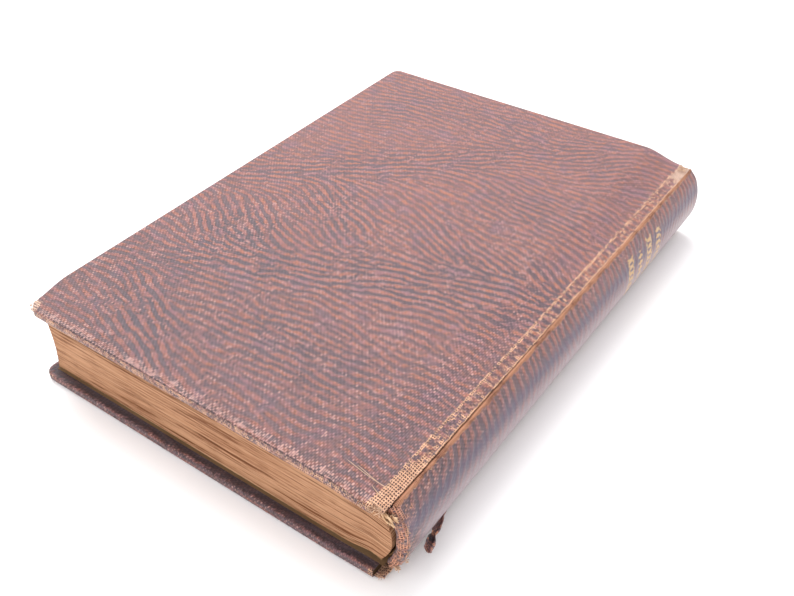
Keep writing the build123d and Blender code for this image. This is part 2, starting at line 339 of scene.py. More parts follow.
class Tree:
    """A material's nodes, built by expressions."""

    def __init__(self, name: str) -> None:
        """Start an empty material of this name."""
        self.material = bpy.data.materials.new(name)
        self.material.use_nodes = True
        self.nodes = self.material.node_tree.nodes
        self.links = self.material.node_tree.links
        self.nodes.clear()
        self.end = self.nodes.new("ShaderNodeOutputMaterial")

    def node(self, kind: str, settings: dict, inputs: dict, output: Union[int, str] = 0) -> Wire:
        """Add a node.

        Args:
            kind: the node's type.
            settings: its own properties, which are set first.
            inputs: a value or a Wire for each socket, by name or place.
            output: the output to return, by name or place.

        Returns:
            The chosen output.
        """
        made = self.nodes.new(kind)
        for name, value in settings.items():
            setattr(made, name, value)
        for name, value in inputs.items():
            if isinstance(value, Wire):
                self.links.new(value.socket, made.inputs[name])
            elif isinstance(value, tuple) and made.inputs[name].type == "RGBA":
                made.inputs[name].default_value = (*value, 1.0)
            else:
                made.inputs[name].default_value = value
        return Wire(self, made.outputs[output])

    def mark(self, name: str) -> Wire:
        """Read an attribute of the mesh."""
        return self.node("ShaderNodeAttribute", {"attribute_name": name}, {}, "Fac")

    def cloth_place(self) -> Wire:
        """Read the cloth or leaf coordinates, in millimetres."""
        return self.node("ShaderNodeUVMap", {"uv_map": "cloth"}, {})

    def object_place(self) -> Wire:
        """Read the place in the object, in metres."""
        return self.node("ShaderNodeTexCoord", {}, {}, "Object")

    def parts(self, place: Wire) -> tuple[Wire, Wire, Wire]:
        """Split a vector into its three parts."""
        split = self.node("ShaderNodeSeparateXYZ", {}, {0: place})
        outputs = split.socket.node.outputs
        return Wire(self, outputs[0]), Wire(self, outputs[1]), Wire(self, outputs[2])

    def place(self, x: Number, y: Number, z: Number = 0.0) -> Wire:
        """Join three values into a vector."""
        return self.node("ShaderNodeCombineXYZ", {}, {0: x, 1: y, 2: z})

    def scaled(self, place: Wire, x: float, y: float, z: float = 1.0) -> Wire:
        """Multiply each part of a vector."""
        return self.node("ShaderNodeVectorMath", {"operation": "MULTIPLY"}, {0: place, 1: (x, y, z)})

    def noise(self, place: Wire, scale: float, detail: float = 2.0, rough: float = 0.5) -> Wire:
        """Return soft noise around one half."""
        inputs = {"Vector": place, "Scale": scale, "Detail": detail, "Roughness": rough}
        return self.node("ShaderNodeTexNoise", {}, inputs, "Fac")

    def swayed(self, place: Wire, scale: float, reach: float) -> Wire:
        """Shift a place by soft noise, as far as reach."""
        shift = self.node("ShaderNodeTexNoise", {}, {"Vector": place, "Scale": scale, "Detail": 2.0}, "Color")
        inputs = {0: shift, 1: (reach, reach, 0.0), 2: place}
        return self.node("ShaderNodeVectorMath", {"operation": "MULTIPLY_ADD"}, inputs)

    def dice(self, place: Wire) -> Wire:
        """Return a random value from 0 to 1 that changes at every place."""
        return self.node("ShaderNodeTexWhiteNoise", {"noise_dimensions": "3D"}, {"Vector": place}, "Value")

    def mix(self, share: Number, first: Tint, second: Tint) -> Wire:
        """Mix two colours, where share is how much of the second shows."""
        settings = {"data_type": "RGBA", "clamp_factor": True}
        return self.node("ShaderNodeMix", settings, {0: share, 6: first, 7: second}, 2)

    def shaded(self, colour: Tint, brightness: Number) -> Wire:
        """Multiply a colour by a brightness."""
        settings = {"operation": "SCALE"}
        return self.node("ShaderNodeVectorMath", settings, {0: colour, "Scale": brightness}, 0)

    def bump(self, height: Wire, distance: float, under: Optional[Wire] = None) -> Wire:
        """Turn a height into a normal.

        Args:
            height: the height, from 0 to 1.
            distance: how deep a height of 1 is, in metres.
            under: a coarser normal that this one stands on.

        Returns:
            The normal.
        """
        inputs = {"Height": height, "Distance": distance, "Strength": 1.0}
        if under is not None:
            inputs["Normal"] = under
        return self.node("ShaderNodeBump", {}, inputs, "Normal")

    def finish(
        self,
        colour: Tint,
        roughness: Number,
        normal: Optional[Wire] = None,
        sheen: float = 0.0,
        specular: float = 0.5,
    ) -> bpy.types.Material:
        """End the material in one Principled shader.

        Args:
            colour: base colour.
            roughness: surface roughness.
            normal: bumped normal.
            sheen: weight of soft fabric sheen.
            specular: strength of the gloss.

        Returns:
            The finished material.
        """
        inputs = {
            "Base Color": colour,
            "Roughness": roughness,
            "Sheen Weight": sheen,
            "Sheen Roughness": 0.5,
            "Specular IOR Level": specular,
        }
        if normal is not None:
            inputs["Normal"] = normal
        shader = self.node("ShaderNodeBsdfPrincipled", {}, inputs, "BSDF")
        self.links.new(shader.socket, self.end.inputs["Surface"])
        return self.material


# ---------------------------------------------------------------------------
# Finishes
# ---------------------------------------------------------------------------
class Part(Enum):
    """Which part of the case a cloth covers."""

    COVER = "cover"
    SPINE = "spine"


@dataclass(frozen=True)
class BookCloth:
    """Plain-woven bookcloth, printed slate over rust in an embossed, flowing grain."""

    part: Part = Part.COVER
    rust: Colour = srgb(137, 91, 85)
    warm_rust: Colour = srgb(158, 101, 82)
    mauve: Colour = srgb(130, 95, 103)
    slate: Colour = srgb(77, 65, 73)
    # Near-black, for real soot and for painted shade under and inside the cloth.
    deep: Colour = srgb(44, 34, 42)
    rubbed: Colour = srgb(176, 137, 128)
    bare: Colour = srgb(204, 158, 128)
    bare_gap: Colour = srgb(64, 27, 16)
    cream: Colour = srgb(214, 182, 162)
    pitch: float = 0.61
    pick_pitch: float = 0.8
    # Bluish colour laid on a band across the spine: a painted sheen.
    violet: Colour = srgb(84, 76, 98)
    # Pale grey laid on the lower spine: a painted reflection of the bright floor.
    faded: Colour = srgb(164, 148, 154)
    gold: Colour = srgb(204, 166, 112)
    roughness: float = 0.7

    def stripes(self, tree: Tree, place: Wire, turn: Wire, size: float) -> Wire:
        """Return flowing stripes.

        Args:
            tree: the material.
            place: cloth coordinates.
            turn: which way the stripes run, in radians.
            size: how many cells of the pattern lie in a millimetre.

        Returns:
            The stripes from 0 to 1, half of them furrows.
        """
        inputs = {"Vector": place, "Scale": size, "Frequency": 2.95, "Anisotropy": 0.97, 4: turn}
        return tree.node("ShaderNodeTexGabor", {"gabor_type": "2D"}, inputs, "Value")

    def grain(self, tree: Tree, place: Wire, shade: Wire) -> Wire:
        """Return the grain's depth, 1 in the printed furrows.

        Args:
            tree: the material.
            place: cloth coordinates.
            shade: each crossing's own shade, which frays the furrows' edges.

        Returns:
            The depth, from 0 to 1.
        """
        turn = tree.mark("grain_turn") + tree.noise(place, 0.05) * 0.9 + (math.pi / 2 - 0.45)
        moved = tree.swayed(place, 0.34, 1.7)
        ragged = (shade - 0.5) * 0.16 + (tree.noise(place, 0.9, 3.0) - 0.5) * 0.16
        along = (self.stripes(tree, moved, turn, 0.12) + ragged).ease(0.58, 0.44)
        broken = tree.noise(place, 0.2, 2.0).ease(0.26, 0.42)
        crossing = (self.stripes(tree, moved, turn + 0.7, 0.135) + ragged).ease(0.45, 0.34)
        patches = tree.noise(place, 0.075, 2.0).ease(0.53, 0.6)
        return (along * (broken * 0.7 + 0.3)).most(crossing * patches * 0.85)

    def weave(self, tree: Tree, place: Wire) -> tuple[Wire, Wire]:
        """Lay out the plain weave.

        Args:
            tree: the material.
            place: cloth coordinates.

        Returns:
            The threads' height and each crossing's own shade, both from 0 to 1.
        """
        across, along, _ = tree.parts(place)
        end = (across * (math.pi / self.pitch)).sine()
        pick = (along * (math.pi / self.pick_pitch)).sine()
        column, row = (across / self.pitch).floor(), (along / self.pick_pitch).floor()
        end_run = tree.dice(tree.place(column, (row / 6.0).floor(), 7.0))
        pick_run = tree.dice(tree.place((column / 6.0).floor(), row, 3.0))
        shade = tree.dice(tree.place(column, row)) * 0.5 + end_run * 0.25 + pick_run * 0.25
        return end * pick * 0.24 + abs(end) * 0.42 + 0.27, shade

    def netting(self, tree: Tree, place: Wire) -> Wire:
        """Lay out the open weave of the bare ground.

        Args:
            tree: the material.
            place: cloth coordinates.

        Returns:
            The weave, 1 on its threads and 0 in its holes.
        """
        across, along, _ = tree.parts(tree.swayed(place, 0.5, 0.7))
        ends = abs((across * (math.pi / self.pitch)).sine()) ** 3.0
        picks = abs((along * (math.pi / self.pick_pitch)).sine()) ** 3.0
        return (ends.most(picks) + tree.noise(place, 1.1, 2.0) * 0.8 - 0.5).ease(0.24, 0.66)

    def build(self) -> bpy.types.Material:
        """Build the material."""
        tree = Tree(f"book_cloth_{self.part.value}")
        place = tree.cloth_place()
        height, shade = self.weave(tree, place)
        furrow = self.grain(tree, place, shade)
        ground = tree.mix(tree.noise(place, 0.4, 3.0).ease(0.4, 0.62), self.rust, self.warm_rust)
        ground = tree.mix(tree.noise(place, 0.12, 3.0).ease(0.5, 0.7) * 0.8, ground, self.mauve)
        ground = tree.mix((shade - 0.5) * 1.2 + 0.15, ground, self.mauve)
        from_tail = tree.parts(place)[1]
        crisp = from_tail.ease(170.0, 30.0) * 0.65 + 0.35
        strength = tree.noise(place, 0.035, 2.0) * 0.2 + tree.mark("press") * 0.24 + crisp * 0.26 + 0.36
        colour = tree.mix(furrow * strength, ground, self.slate)
        colour = tree.mix(from_tail.ease(90.0, 0.0) * 0.21, colour, self.slate)
        # Brighter on the thread crowns and darker in the hollows between threads: painted light and shade on
        # the weave's relief. The shade term is each crossing's own tone.
        colour = tree.shaded(colour, (height * 1.5 + shade * 0.6 - 1.13) * crisp + 1.0)
        soft = tree.noise(place, 0.8, 2.0) - 0.5
        # Pale dots on the thread crowns: partly rubbed wear, partly painted highlight.
        dots = shade * 0.72 + height * 0.52 + tree.noise(place, 0.05, 2.0) * 0.4 - furrow * 0.1
        colour = tree.mix(dots.ease(1.04, 1.14) * crisp * 0.75, colour, self.rubbed)
        rub = tree.mark("rubbed") + (shade - 0.5) * 0.8 + soft * 0.45 + (height - 0.5) * 0.9
        colour = tree.mix(rub.ease(0.5, 0.85) * 0.8, colour, tree.shaded(self.rubbed, shade * 0.5 + 0.7))
        bare = tree.mark("bare") + (shade - 0.5) * 0.7 + soft * 0.8
        thread = tree.mix(tree.mark("pale"), self.bare, self.cream)
        netting = tree.mix(self.netting(tree, place), self.bare_gap, tree.shaded(thread, shade * 0.7 + 0.65))
        colour = tree.mix(bare.ease(0.45, 0.66), colour, netting)
        # Darkens towards near-black: real soot along the back cover's tail arris; painted shade on the front
        # cover's edge and turn-in and inside the spine's rolled tail; a dark band across the torn flap.
        soot = tree.mark("soot") + soft * 1.3 + (shade - 0.5) * 0.3
        colour = tree.mix(soot.ease(0.45, 0.75) * 0.85, colour, self.deep)
        gloss = self.roughness - furrow * 0.14
        if self.part is Part.SPINE:
            # A bluish band along the upper middle of the spine: painted sheen.
            colour = tree.mix(tree.mark("violet") * 0.75, colour, self.violet)
            # Paler towards the lower spine: a painted reflection of the bright floor.
            colour = tree.mix(tree.mark("faded") * 0.8, colour, self.faded)
            gilt = tree.mark("gilt") + (shade - 0.5) * 0.5 + soft * 0.9
            colour = tree.mix(gilt.ease(0.5, 0.72) * 0.85, colour, self.gold)
        relief = tree.bump(1 - furrow * 0.9, 0.00018)
        relief = tree.bump(height + shade * 0.4, 0.0001, relief)
        return tree.finish(colour, gloss, relief, sheen=0.08, specular=0.45)


@dataclass(frozen=True)
class PagePaper:
    """Toned book paper, seen on the cut edges of its leaves."""

    paper: Colour = srgb(172, 125, 92)
    pale: Colour = srgb(190, 145, 111)
    # The darker paper colour, for leaf lines and smudges.
    toned: Colour = srgb(106, 60, 32)
    # Dark brown for where the leaves stand apart: painted shade in the gaps.
    gap: Colour = srgb(72, 38, 20)

    def build(self) -> bpy.types.Material:
        """Build the material."""
        tree = Tree("page_paper")
        place = tree.cloth_place()
        leaves = tree.noise(tree.scaled(place, 0.04, 1.9), 1.0, 4.0, 0.75)
        sections = tree.noise(tree.scaled(place, 0.02, 0.7), 1.0, 3.0)
        smudge = tree.noise(place, 0.12, 3.0)
        fibres = tree.noise(place, 2.5, 3.0)
        colour = tree.mix(sections.ease(0.32, 0.68), self.paper, self.pale)
        lines = tree.noise(tree.scaled(place, 0.022, 1.05), 1.0, 3.0, 0.7)
        colour = tree.mix(leaves.ease(0.49, 0.38) * 0.9, colour, self.toned)
        colour = tree.mix(lines.ease(0.46, 0.39) * 0.9, colour, self.toned)
        colour = tree.mix(lines.ease(0.54, 0.6) * 0.8, colour, self.pale)
        colour = tree.mix(smudge.ease(0.5, 0.75) * 0.22, colour, self.toned)
        # Darkens where the leaves stand apart: painted shade in the gaps.
        colour = tree.mix(tree.mark("gap") * 0.85, colour, self.gap)
        colour = tree.shaded(colour, fibres * 0.14 + 0.93)
        relief = tree.bump(leaves, 0.00015)
        relief = tree.bump(fibres, 0.00004, relief)
        return tree.finish(colour, 0.82, relief, specular=0.25)


@dataclass(frozen=True)
class PlainPaper:
    """Flat paper or card with mottled toning and a faint fibre."""

    name: str
    light: Colour
    dark: Colour
    mottle: float = 60.0

    def build(self) -> bpy.types.Material:
        """Build the material."""
        tree = Tree(self.name)
        place = tree.object_place()
        mottle = tree.noise(place, self.mottle, 4.0) * 0.6 + tree.noise(place, self.mottle / 6, 2.0) * 0.4
        fibre = tree.noise(tree.scaled(place, 1.0, 2.5, 1.0), 1400.0, 3.0)
        colour = tree.mix(mottle.ease(0.3, 0.78), self.light, self.dark)
        # Darker near the edges that a layer marks: painted shade.
        colour = tree.shaded(colour, fibre * 0.16 + 0.92 - tree.mark("toned") * 0.5)
        return tree.finish(colour, 0.88, tree.bump(fibre, 0.00005), specular=0.2)


@dataclass(frozen=True)
class Netting:
    """Open-woven stiffened gauze with glue between its threads."""

    thread: Colour = srgb(184, 154, 116)
    glue: Colour = srgb(120, 80, 44)
    pitch: float = 0.0009

    def build(self) -> bpy.types.Material:
        """Build the material."""
        tree = Tree("gauze")
        across, along, up = tree.parts(tree.object_place())
        turn = math.pi / self.pitch
        columns = abs(((across + up) * turn).sine())
        rows = abs((along * turn).sine())
        strand = (columns ** 3.0).most(rows ** 3.0)
        colour = tree.mix(strand.ease(0.35, 0.7), self.glue, self.thread)
        return tree.finish(colour, 0.85, tree.bump(strand, 0.0001), specular=0.2)


@dataclass(frozen=True)
class Strand:
    """Loose thread, paler or darker by its own shade."""

    name: str
    light: Colour
    dark: Colour

    def build(self) -> bpy.types.Material:
        """Build the material."""
        tree = Tree(self.name)
        place = tree.cloth_place()
        twist = tree.noise(tree.scaled(place, 3.0, 20.0), 1.0, 2.0)
        shade = tree.mark("shade") + (twist - 0.5) * 0.5
        colour = tree.mix(shade.ease(0.1, 0.9), self.dark, self.light)
        return tree.finish(colour, 0.85, tree.bump(twist, 0.00003), sheen=0.2, specular=0.2)


@dataclass(frozen=True)
class OldGlue:
    """Brittle amber glue with cloth fibres stuck in it."""

    amber: Colour = srgb(86, 42, 26)
    crust: Colour = srgb(164, 114, 86)

    def build(self) -> bpy.types.Material:
        """Build the material."""
        tree = Tree("old_glue")
        place = tree.cloth_place()
        crumbs = tree.noise(place, 1.1, 4.0, 0.7)
        threads = abs(tree.parts(tree.scaled(place, 1.0, 2 * math.pi))[1].sine())
        streaks = tree.noise(tree.scaled(place, 3.0, 0.35), 1.0, 3.0)
        light = (crumbs * 0.5 + streaks * 0.5 + threads * 0.2 + tree.mark("shade") * 0.25).ease(0.52, 0.82)
        colour = tree.mix(light, self.amber, self.crust)
        return tree.finish(colour, 0.6, tree.bump(crumbs + threads * 0.3, 0.00015), specular=0.4)


@dataclass(frozen=True)
class StudioFloor:
    """Plain pale studio floor."""

    tone: Colour = (0.9, 0.895, 0.9)

    def build(self) -> bpy.types.Material:
        """Build the material."""
        tree = Tree("studio_floor")
        grain = tree.noise(tree.object_place(), 3.0, 2.0)
        return tree.finish(tree.shaded(self.tone, grain * 0.01 + 0.995), 0.7, specular=0.1)


# ---------------------------------------------------------------------------
# Sizes read from the frame
# ---------------------------------------------------------------------------
@dataclass(frozen=True)
class Sizes:
    """Places of the shut book, in metres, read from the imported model."""

    fore_x: float
    joint_x: float
    strip_x: float
    tail_y: float
    head_y: float
    top_z: float
    cloth: float
    pages_low: Vector
    pages_high: Vector
    spine_low: Vector
    spine_high: Vector
    hinge_x: float

    @classmethod
    def read(cls) -> "Sizes":
        """Read the sizes from the frame."""
        cloth_low, cloth_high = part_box("back_cloth")
        board_low, board_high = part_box("back_board")
        pages_low, pages_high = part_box("text_block")
        spine_low, spine_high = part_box("spine_cloth")
        hinge = next(joint for joint in frame["joints"] if joint["child"] == "back_cover")
        return cls(
            fore_x=cloth_low.x,
            joint_x=board_high.x,
            strip_x=cloth_high.x,
            tail_y=cloth_low.y,
            head_y=cloth_high.y,
            top_z=cloth_high.z,
            cloth=board_low.x - cloth_low.x,
            pages_low=pages_low,
            pages_high=pages_high,
            spine_low=spine_low,
            spine_high=spine_high,
            hinge_x=hinge["pos_m"][0],
        )


# ---------------------------------------------------------------------------
# The run of the cloth's grain
# ---------------------------------------------------------------------------
@dataclass(frozen=True)
class Sweep:
    """One broad sweep of the grain: where it lies, its size, and which way it runs."""

    across: float
    along: float
    length: float
    width: float
    tilt: float
    run: float
    weight: float = 1.2


BACK_SWEEPS = (
    Sweep(45, 128, 62, 9, 42, 42, 1.6),
    Sweep(62, 62, 60, 10, 25, 24, 1.5),
    Sweep(110, 78, 25, 12, 20, 22),
    Sweep(24, 66, 16, 14, 0, -42, 1.5),
    Sweep(48, 92, 22, 10, -35, -38),
    Sweep(85, 98, 22, 12, -30, -35, 0.9),
    Sweep(35, 14, 22, 10, -30, -32, 1.3),
    Sweep(108, 165, 16, 14, 0, 62, 0.9),
    Sweep(20, 160, 10, 18, 0, 50, 0.7),
    Sweep(118, 98, 12, 10, 0, -45),
    Sweep(50, 172, 40, 14, 0, -4, 1.0),
    Sweep(100, 130, 30, 14, 0, -10, 1.0),
    Sweep(75, 30, 40, 12, 0, 8, 0.9),
)
FRONT_SWEEPS = (
    Sweep(180, 60, 60, 12, -30, -28, 1.4),
    Sweep(215, 120, 50, 14, 35, 38, 1.4),
    Sweep(255, 40, 24, 14, 20, 30),
    Sweep(200, 165, 40, 12, 0, -6, 1.0),
    Sweep(265, 150, 18, 20, 0, -44, 1.1),
)
SPINE_SWEEPS = (
    Sweep(144, 12, 12, 14, 0, -38, 1.5),
    Sweep(144, 40, 14, 20, 0, -22, 1.0),
    Sweep(144, 90, 14, 26, 0, 18, 0.8),
    Sweep(144, 150, 14, 26, 0, -14, 0.8),
)


def grain_run(across: Array, along: Array, sweeps: Sequence[Sweep]) -> dict[str, Array]:
    """Work out which way the grain runs and how deep it is pressed.

    Args:
        across: cloth coordinate from the back cover's fore-edge, in millimetres.
        along: cloth coordinate from the tail, in millimetres.
        sweeps: the sweeps that shape it.

    Returns:
        The angle from the across direction, in radians, and the depth from 0 to 1.
    """
    level = np.full_like(across, 0.35)
    rise = np.zeros_like(across)
    press = np.zeros_like(across)
    for sweep in sweeps:
        tilt = math.radians(sweep.tilt)
        dx, dy = across - sweep.across, along - sweep.along
        ahead = (dx * math.cos(tilt) + dy * math.sin(tilt)) / sweep.length
        aside = (dy * math.cos(tilt) - dx * math.sin(tilt)) / sweep.width
        pull = sweep.weight * np.exp(-(ahead**2 + aside**2))
        level += pull * math.cos(2 * math.radians(sweep.run))
        rise += pull * math.sin(2 * math.radians(sweep.run))
        press += pull
    return {"grain_turn": 0.5 * np.arctan2(rise, level), "press": np.clip(press / 1.2, 0, 1)}


# ---------------------------------------------------------------------------
# Covers
# ---------------------------------------------------------------------------
class Side(Enum):
    """Which cover, by the name its nodes start with."""

    BACK = "back"
    FRONT = "front"


@dataclass(frozen=True)
class Cover:
    """One cover: board, wrapped cloth, gauze flange and pastedown."""

    sizes: Sizes
    side: Side
    bow_tail: float
    bow_head: float
    strip_tail: float
    strip_head: float
    sweeps: tuple[Sweep, ...]
    worn_corner: bool
    board: float = 2.1 * MM
    bow_run: float = 14.4 * MM
    arris: float = 0.7 * MM
    under_arris: float = 0.45 * MM
    turn_in: float = 14.0 * MM
    corner: float = 3.5 * MM
    tail_corner: float = 3.4 * MM
    corner_setback: float = 2.6 * MM
    corner_run: float = 17.0 * MM
    pastedown_margin: float = 3.0 * MM
    pastedown_thickness: float = 0.15 * MM
    gauze_thickness: float = 0.2 * MM
    gauze_on_board: float = 24.0 * MM
    gauze_short: float = 16.0 * MM
    overhang: float = 1.4 * MM
    spine_arc: float = 26.6 * MM

    @property
    def body(self) -> str:
        """Return the body that the cover's pieces ride on."""
        return f"{self.side.value}_cover"

    def height(self, depth: Array) -> Array:
        """Return the height at a depth under the cover's outside face."""
        return self.sizes.top_z - depth if self.side is Side.BACK else depth

    def face_depth(self, x: Array, y: Array) -> Array:
        """Work out how far the outside face lies under the level of the shut book.

        Args:
            x, y: places on the cover.

        Returns:
            The depth at each place, in metres.
        """
        s = self.sizes
        share = (y - s.tail_y) / (s.head_y - s.tail_y)
        bow = self.bow_tail + (self.bow_head - self.bow_tail) * share
        strip_end = self.strip_tail + (self.strip_head - self.strip_tail) * share
        board = bow * ease(x, s.joint_x - self.bow_run, s.joint_x)
        past = np.clip((x - s.joint_x) / (s.strip_x - s.joint_x), 0, 1)
        strip = bow + (strip_end - bow) * ease(past, 0.3, 1.0) + 0.35 * MM * np.sin(math.pi * past)
        swell = 0.05 * MM * (1 + Unevenness(11).area(x, y, 38 * MM))
        fade = ease(np.minimum(np.minimum(x - s.fore_x, s.joint_x - x), 8 * MM), 0, 8 * MM)
        return np.where(x > s.joint_x, strip, board + swell * fade)

    def plan(self, across: Array, along: Array, inset: float) -> tuple[Array, Array]:
        """Place a point of the flat rectangle on the cover with its worn corners.

        Args:
            across: distance from the fore-edge.
            along: distance from the tail.
            inset: how far inside the outline the rectangle's edge runs.

        Returns:
            x and y in the frame.
        """
        s = self.sizes
        tall = s.head_y - s.tail_y
        x, y = np.array(across, float), np.array(along, float)
        for from_tail, radius in ((True, self.tail_corner), (False, self.corner)):
            reach = radius - inset
            a = np.clip((across - inset) / reach, 0, None)
            b = np.clip(((along if from_tail else tall - along) - inset) / reach, 0, None)
            inside = (a < 1) & (b < 1)
            new_x = inset + reach * (1 - (1 - a) * np.sqrt(np.clip(1 - (1 - b) ** 2 / 2, 0, 1)))
            new_y = inset + reach * (1 - (1 - b) * np.sqrt(np.clip(1 - (1 - a) ** 2 / 2, 0, 1)))
            x = np.where(inside, new_x, x)
            y = np.where(inside, new_y if from_tail else tall - new_y, y)
        if self.worn_corner:
            set_in = self.corner_setback * (1 - ease(y, 0, self.corner_run))
            ragged = 0.16 * MM * Unevenness(5).line(y, 1.3 * MM) * (1 - ease(y, 4 * MM, 9 * MM))
            x = x + (set_in + ragged) * (1 - ease(x, 0, 16 * MM))
        return s.fore_x + x, s.tail_y + y

    def marks(self, x: Array, y: Array, past: Array) -> dict[str, Array]:
        """Work out where the cloth is rubbed, bare and sooty, and where painted shade darkens it.

        Args:
            x, y: places on the cover.
            past: distance past the arris, down the edge and underneath.

        Returns:
            The attributes that the cloth's finish reads.
        """
        s = self.sizes
        from_tail, from_head = y - s.tail_y, s.head_y - y
        from_fore, from_joint = x - s.fore_x, s.joint_x - x
        on_edge = ease(past, 0.2 * MM, 0.9 * MM)
        under = ease(past, 3.2 * MM, 4.4 * MM)
        near_tail = 1 - ease(from_tail, 1.2 * MM, 5.2 * MM)
        near_head = 1 - ease(from_head, 0, 1.6 * MM)
        near_fore = 1 - ease(from_fore, 0, 1.8 * MM)
        rubbed = np.maximum(np.maximum(near_tail * 0.62, near_head * 0.5), near_fore * 0.6)
        rubbed = np.maximum(rubbed, 0.45 * on_edge) * (1 - under)
        corner = np.hypot(from_fore - 2 * MM, from_tail)
        frayed = (1 - ease(corner, 2.5 * MM, 6.5 * MM)) * (1.0 if self.worn_corner else 0.5)
        line = mound(from_joint, 0.3 * MM, 0.6 * MM) * 0.74
        strip_end = mound(x - s.strip_x, 0.0, 0.9 * MM) * 0.85
        taper = s.joint_x - (1.6 - 0.11 * from_tail / MM) * MM
        worn_tail = (1 - ease(from_tail, 6 * MM, 44 * MM)) * ease(x - taper, -0.3 * MM, 0.5 * MM) * 0.95
        head_patch = (1 - ease(from_head, 4 * MM, 22 * MM)) * ease(-from_joint, -1.2 * MM, 0.4 * MM)
        strip_patches = 0.4 * ease(x, s.joint_x - 0.5 * MM, s.joint_x + 0.5 * MM)
        tail_arris = (1 - ease(from_tail, 0.2 * MM, 0.9 * MM)) * (1 - ease(past, 0.5 * MM, 1.0 * MM))
        soot = tail_arris * ease(from_fore, 6 * MM, 14 * MM) * ease(from_joint, 2 * MM, 8 * MM) * 0.72
        edge_bare = (0.5 - 0.3 * ease(from_tail, 1 * MM, 6 * MM)) * on_edge
        if self.side is Side.FRONT:
            worn_tail, head_patch, edge_bare = worn_tail * 0.8, head_patch * 0.6, 0 * on_edge
            # On the front cover the edge and the turn-in underneath are darkened: painted shade.
            rubbed, soot = rubbed * 0.55, np.maximum(0.5 * on_edge, under)
        worn = [line, strip_end, worn_tail, head_patch, frayed * 0.85, strip_patches, edge_bare]
        bare = np.maximum.reduce(worn)
        pale = np.maximum(head_patch * 1.2, frayed)
        return {"rubbed": rubbed, "bare": bare * (1 - under), "soot": soot, "pale": pale}

    def cloth_map(self, x: Array, y: Array) -> Array:
        """Turn places in plan into cloth coordinates.

        Args:
            x, y: places on the cover.

        Returns:
            The coordinates in millimetres, across from the back cover's fore-edge and up from the tail.
        """
        s = self.sizes
        across = (x - s.fore_x) / MM
        if self.side is Side.FRONT:
            whole = (2 * (s.strip_x - s.fore_x) + self.spine_arc) / MM
            across = whole - across
        return np.stack([across, (y - s.tail_y) / MM], -1)

    def edge_profile(self) -> list[tuple[float, float]]:
        """Return the wrapped edge, as steps outward and inward past the arris."""
        steps = np.linspace(0, math.pi / 2, 6)[1:]
        thick = self.board + 2 * self.sizes.cloth
        top = [(self.arris * math.sin(t), self.arris * (1 - math.cos(t))) for t in steps]
        low, r = thick - self.under_arris, self.under_arris
        wall = [(self.arris, self.arris + (low - self.arris) * t) for t in (0.33, 0.66, 1.0)]
        turn = [(self.arris - r * (1 - math.cos(t)), low + r * math.sin(t)) for t in steps]
        return top + wall + turn

    def build_cloth(self, material: bpy.types.Material) -> bpy.types.Object:
        """Wrap the cloth round the board's face and three edges, and over the joint.

        Args:
            material: the cloth's finish.

        Returns:
            The cloth.
        """
        s = self.sizes
        tall, wide = s.head_y - s.tail_y, s.joint_x - s.fore_x
        inset = self.arris
        board_columns = np.concatenate([
            np.linspace(inset, 6 * MM, 10, endpoint=False),
            np.linspace(6 * MM, wide - 15 * MM, 96, endpoint=False),
            np.linspace(wide - 15 * MM, wide - 2 * MM, 16, endpoint=False),
            np.linspace(wide - 2 * MM, wide, 9),
        ])
        strip_columns = wide + np.linspace(0, s.strip_x - s.joint_x, 14)[1:]
        columns = np.concatenate([board_columns, strip_columns])
        rows = np.concatenate([
            np.linspace(inset, 8 * MM, 14, endpoint=False),
            np.linspace(8 * MM, tall - 8 * MM, 158, endpoint=False),
            np.linspace(tall - 8 * MM, tall - inset, 14),
        ])
        across, along = np.meshgrid(columns, rows)
        x, y = self.plan(across, along, inset)
        torn = ease(across, wide, columns[-1]) * 0.3 * MM * Unevenness(23).line(y, 1.1 * MM)
        x = x - np.abs(torn) * (across > wide)
        depth = self.face_depth(x, y)
        surface = Surface()
        flip = self.side is Side.FRONT
        grid = self._lay(surface, x, y, depth, np.zeros_like(x), self.cloth_map(x, y))
        surface.skin(grid, flip)
        last = len(board_columns) - 1
        rim = [(0, i) for i in range(last, 0, -1)]
        rim += [(j, 0) for j in range(len(rows))]
        rim += [(len(rows) - 1, i) for i in range(1, last + 1)]
        j, i = np.array(rim).T
        self._wrap(surface, grid[j, i], x[j, i], y[j, i], depth[j, i], flip)
        piece = surface.build(f"{self.side.value}_cover_cloth", material)
        thicken(piece, s.cloth)
        return piece

    def _lay(self, surface: Surface, x: Array, y: Array, depth: Array, past: Array, maps: Array) -> Array:
        """Add points of the cloth with their marks.

        Args:
            surface: the mesh.
            x, y, depth: where the points lie.
            past: distance past the arris.
            maps: cloth coordinates.

        Returns:
            The new points' indices.
        """
        points = np.stack([x, y, self.height(depth)], -1)
        run = grain_run(maps[..., 0], maps[..., 1], self.sweeps)
        return surface.add(points, maps, **run, **self.marks(x, y, past))

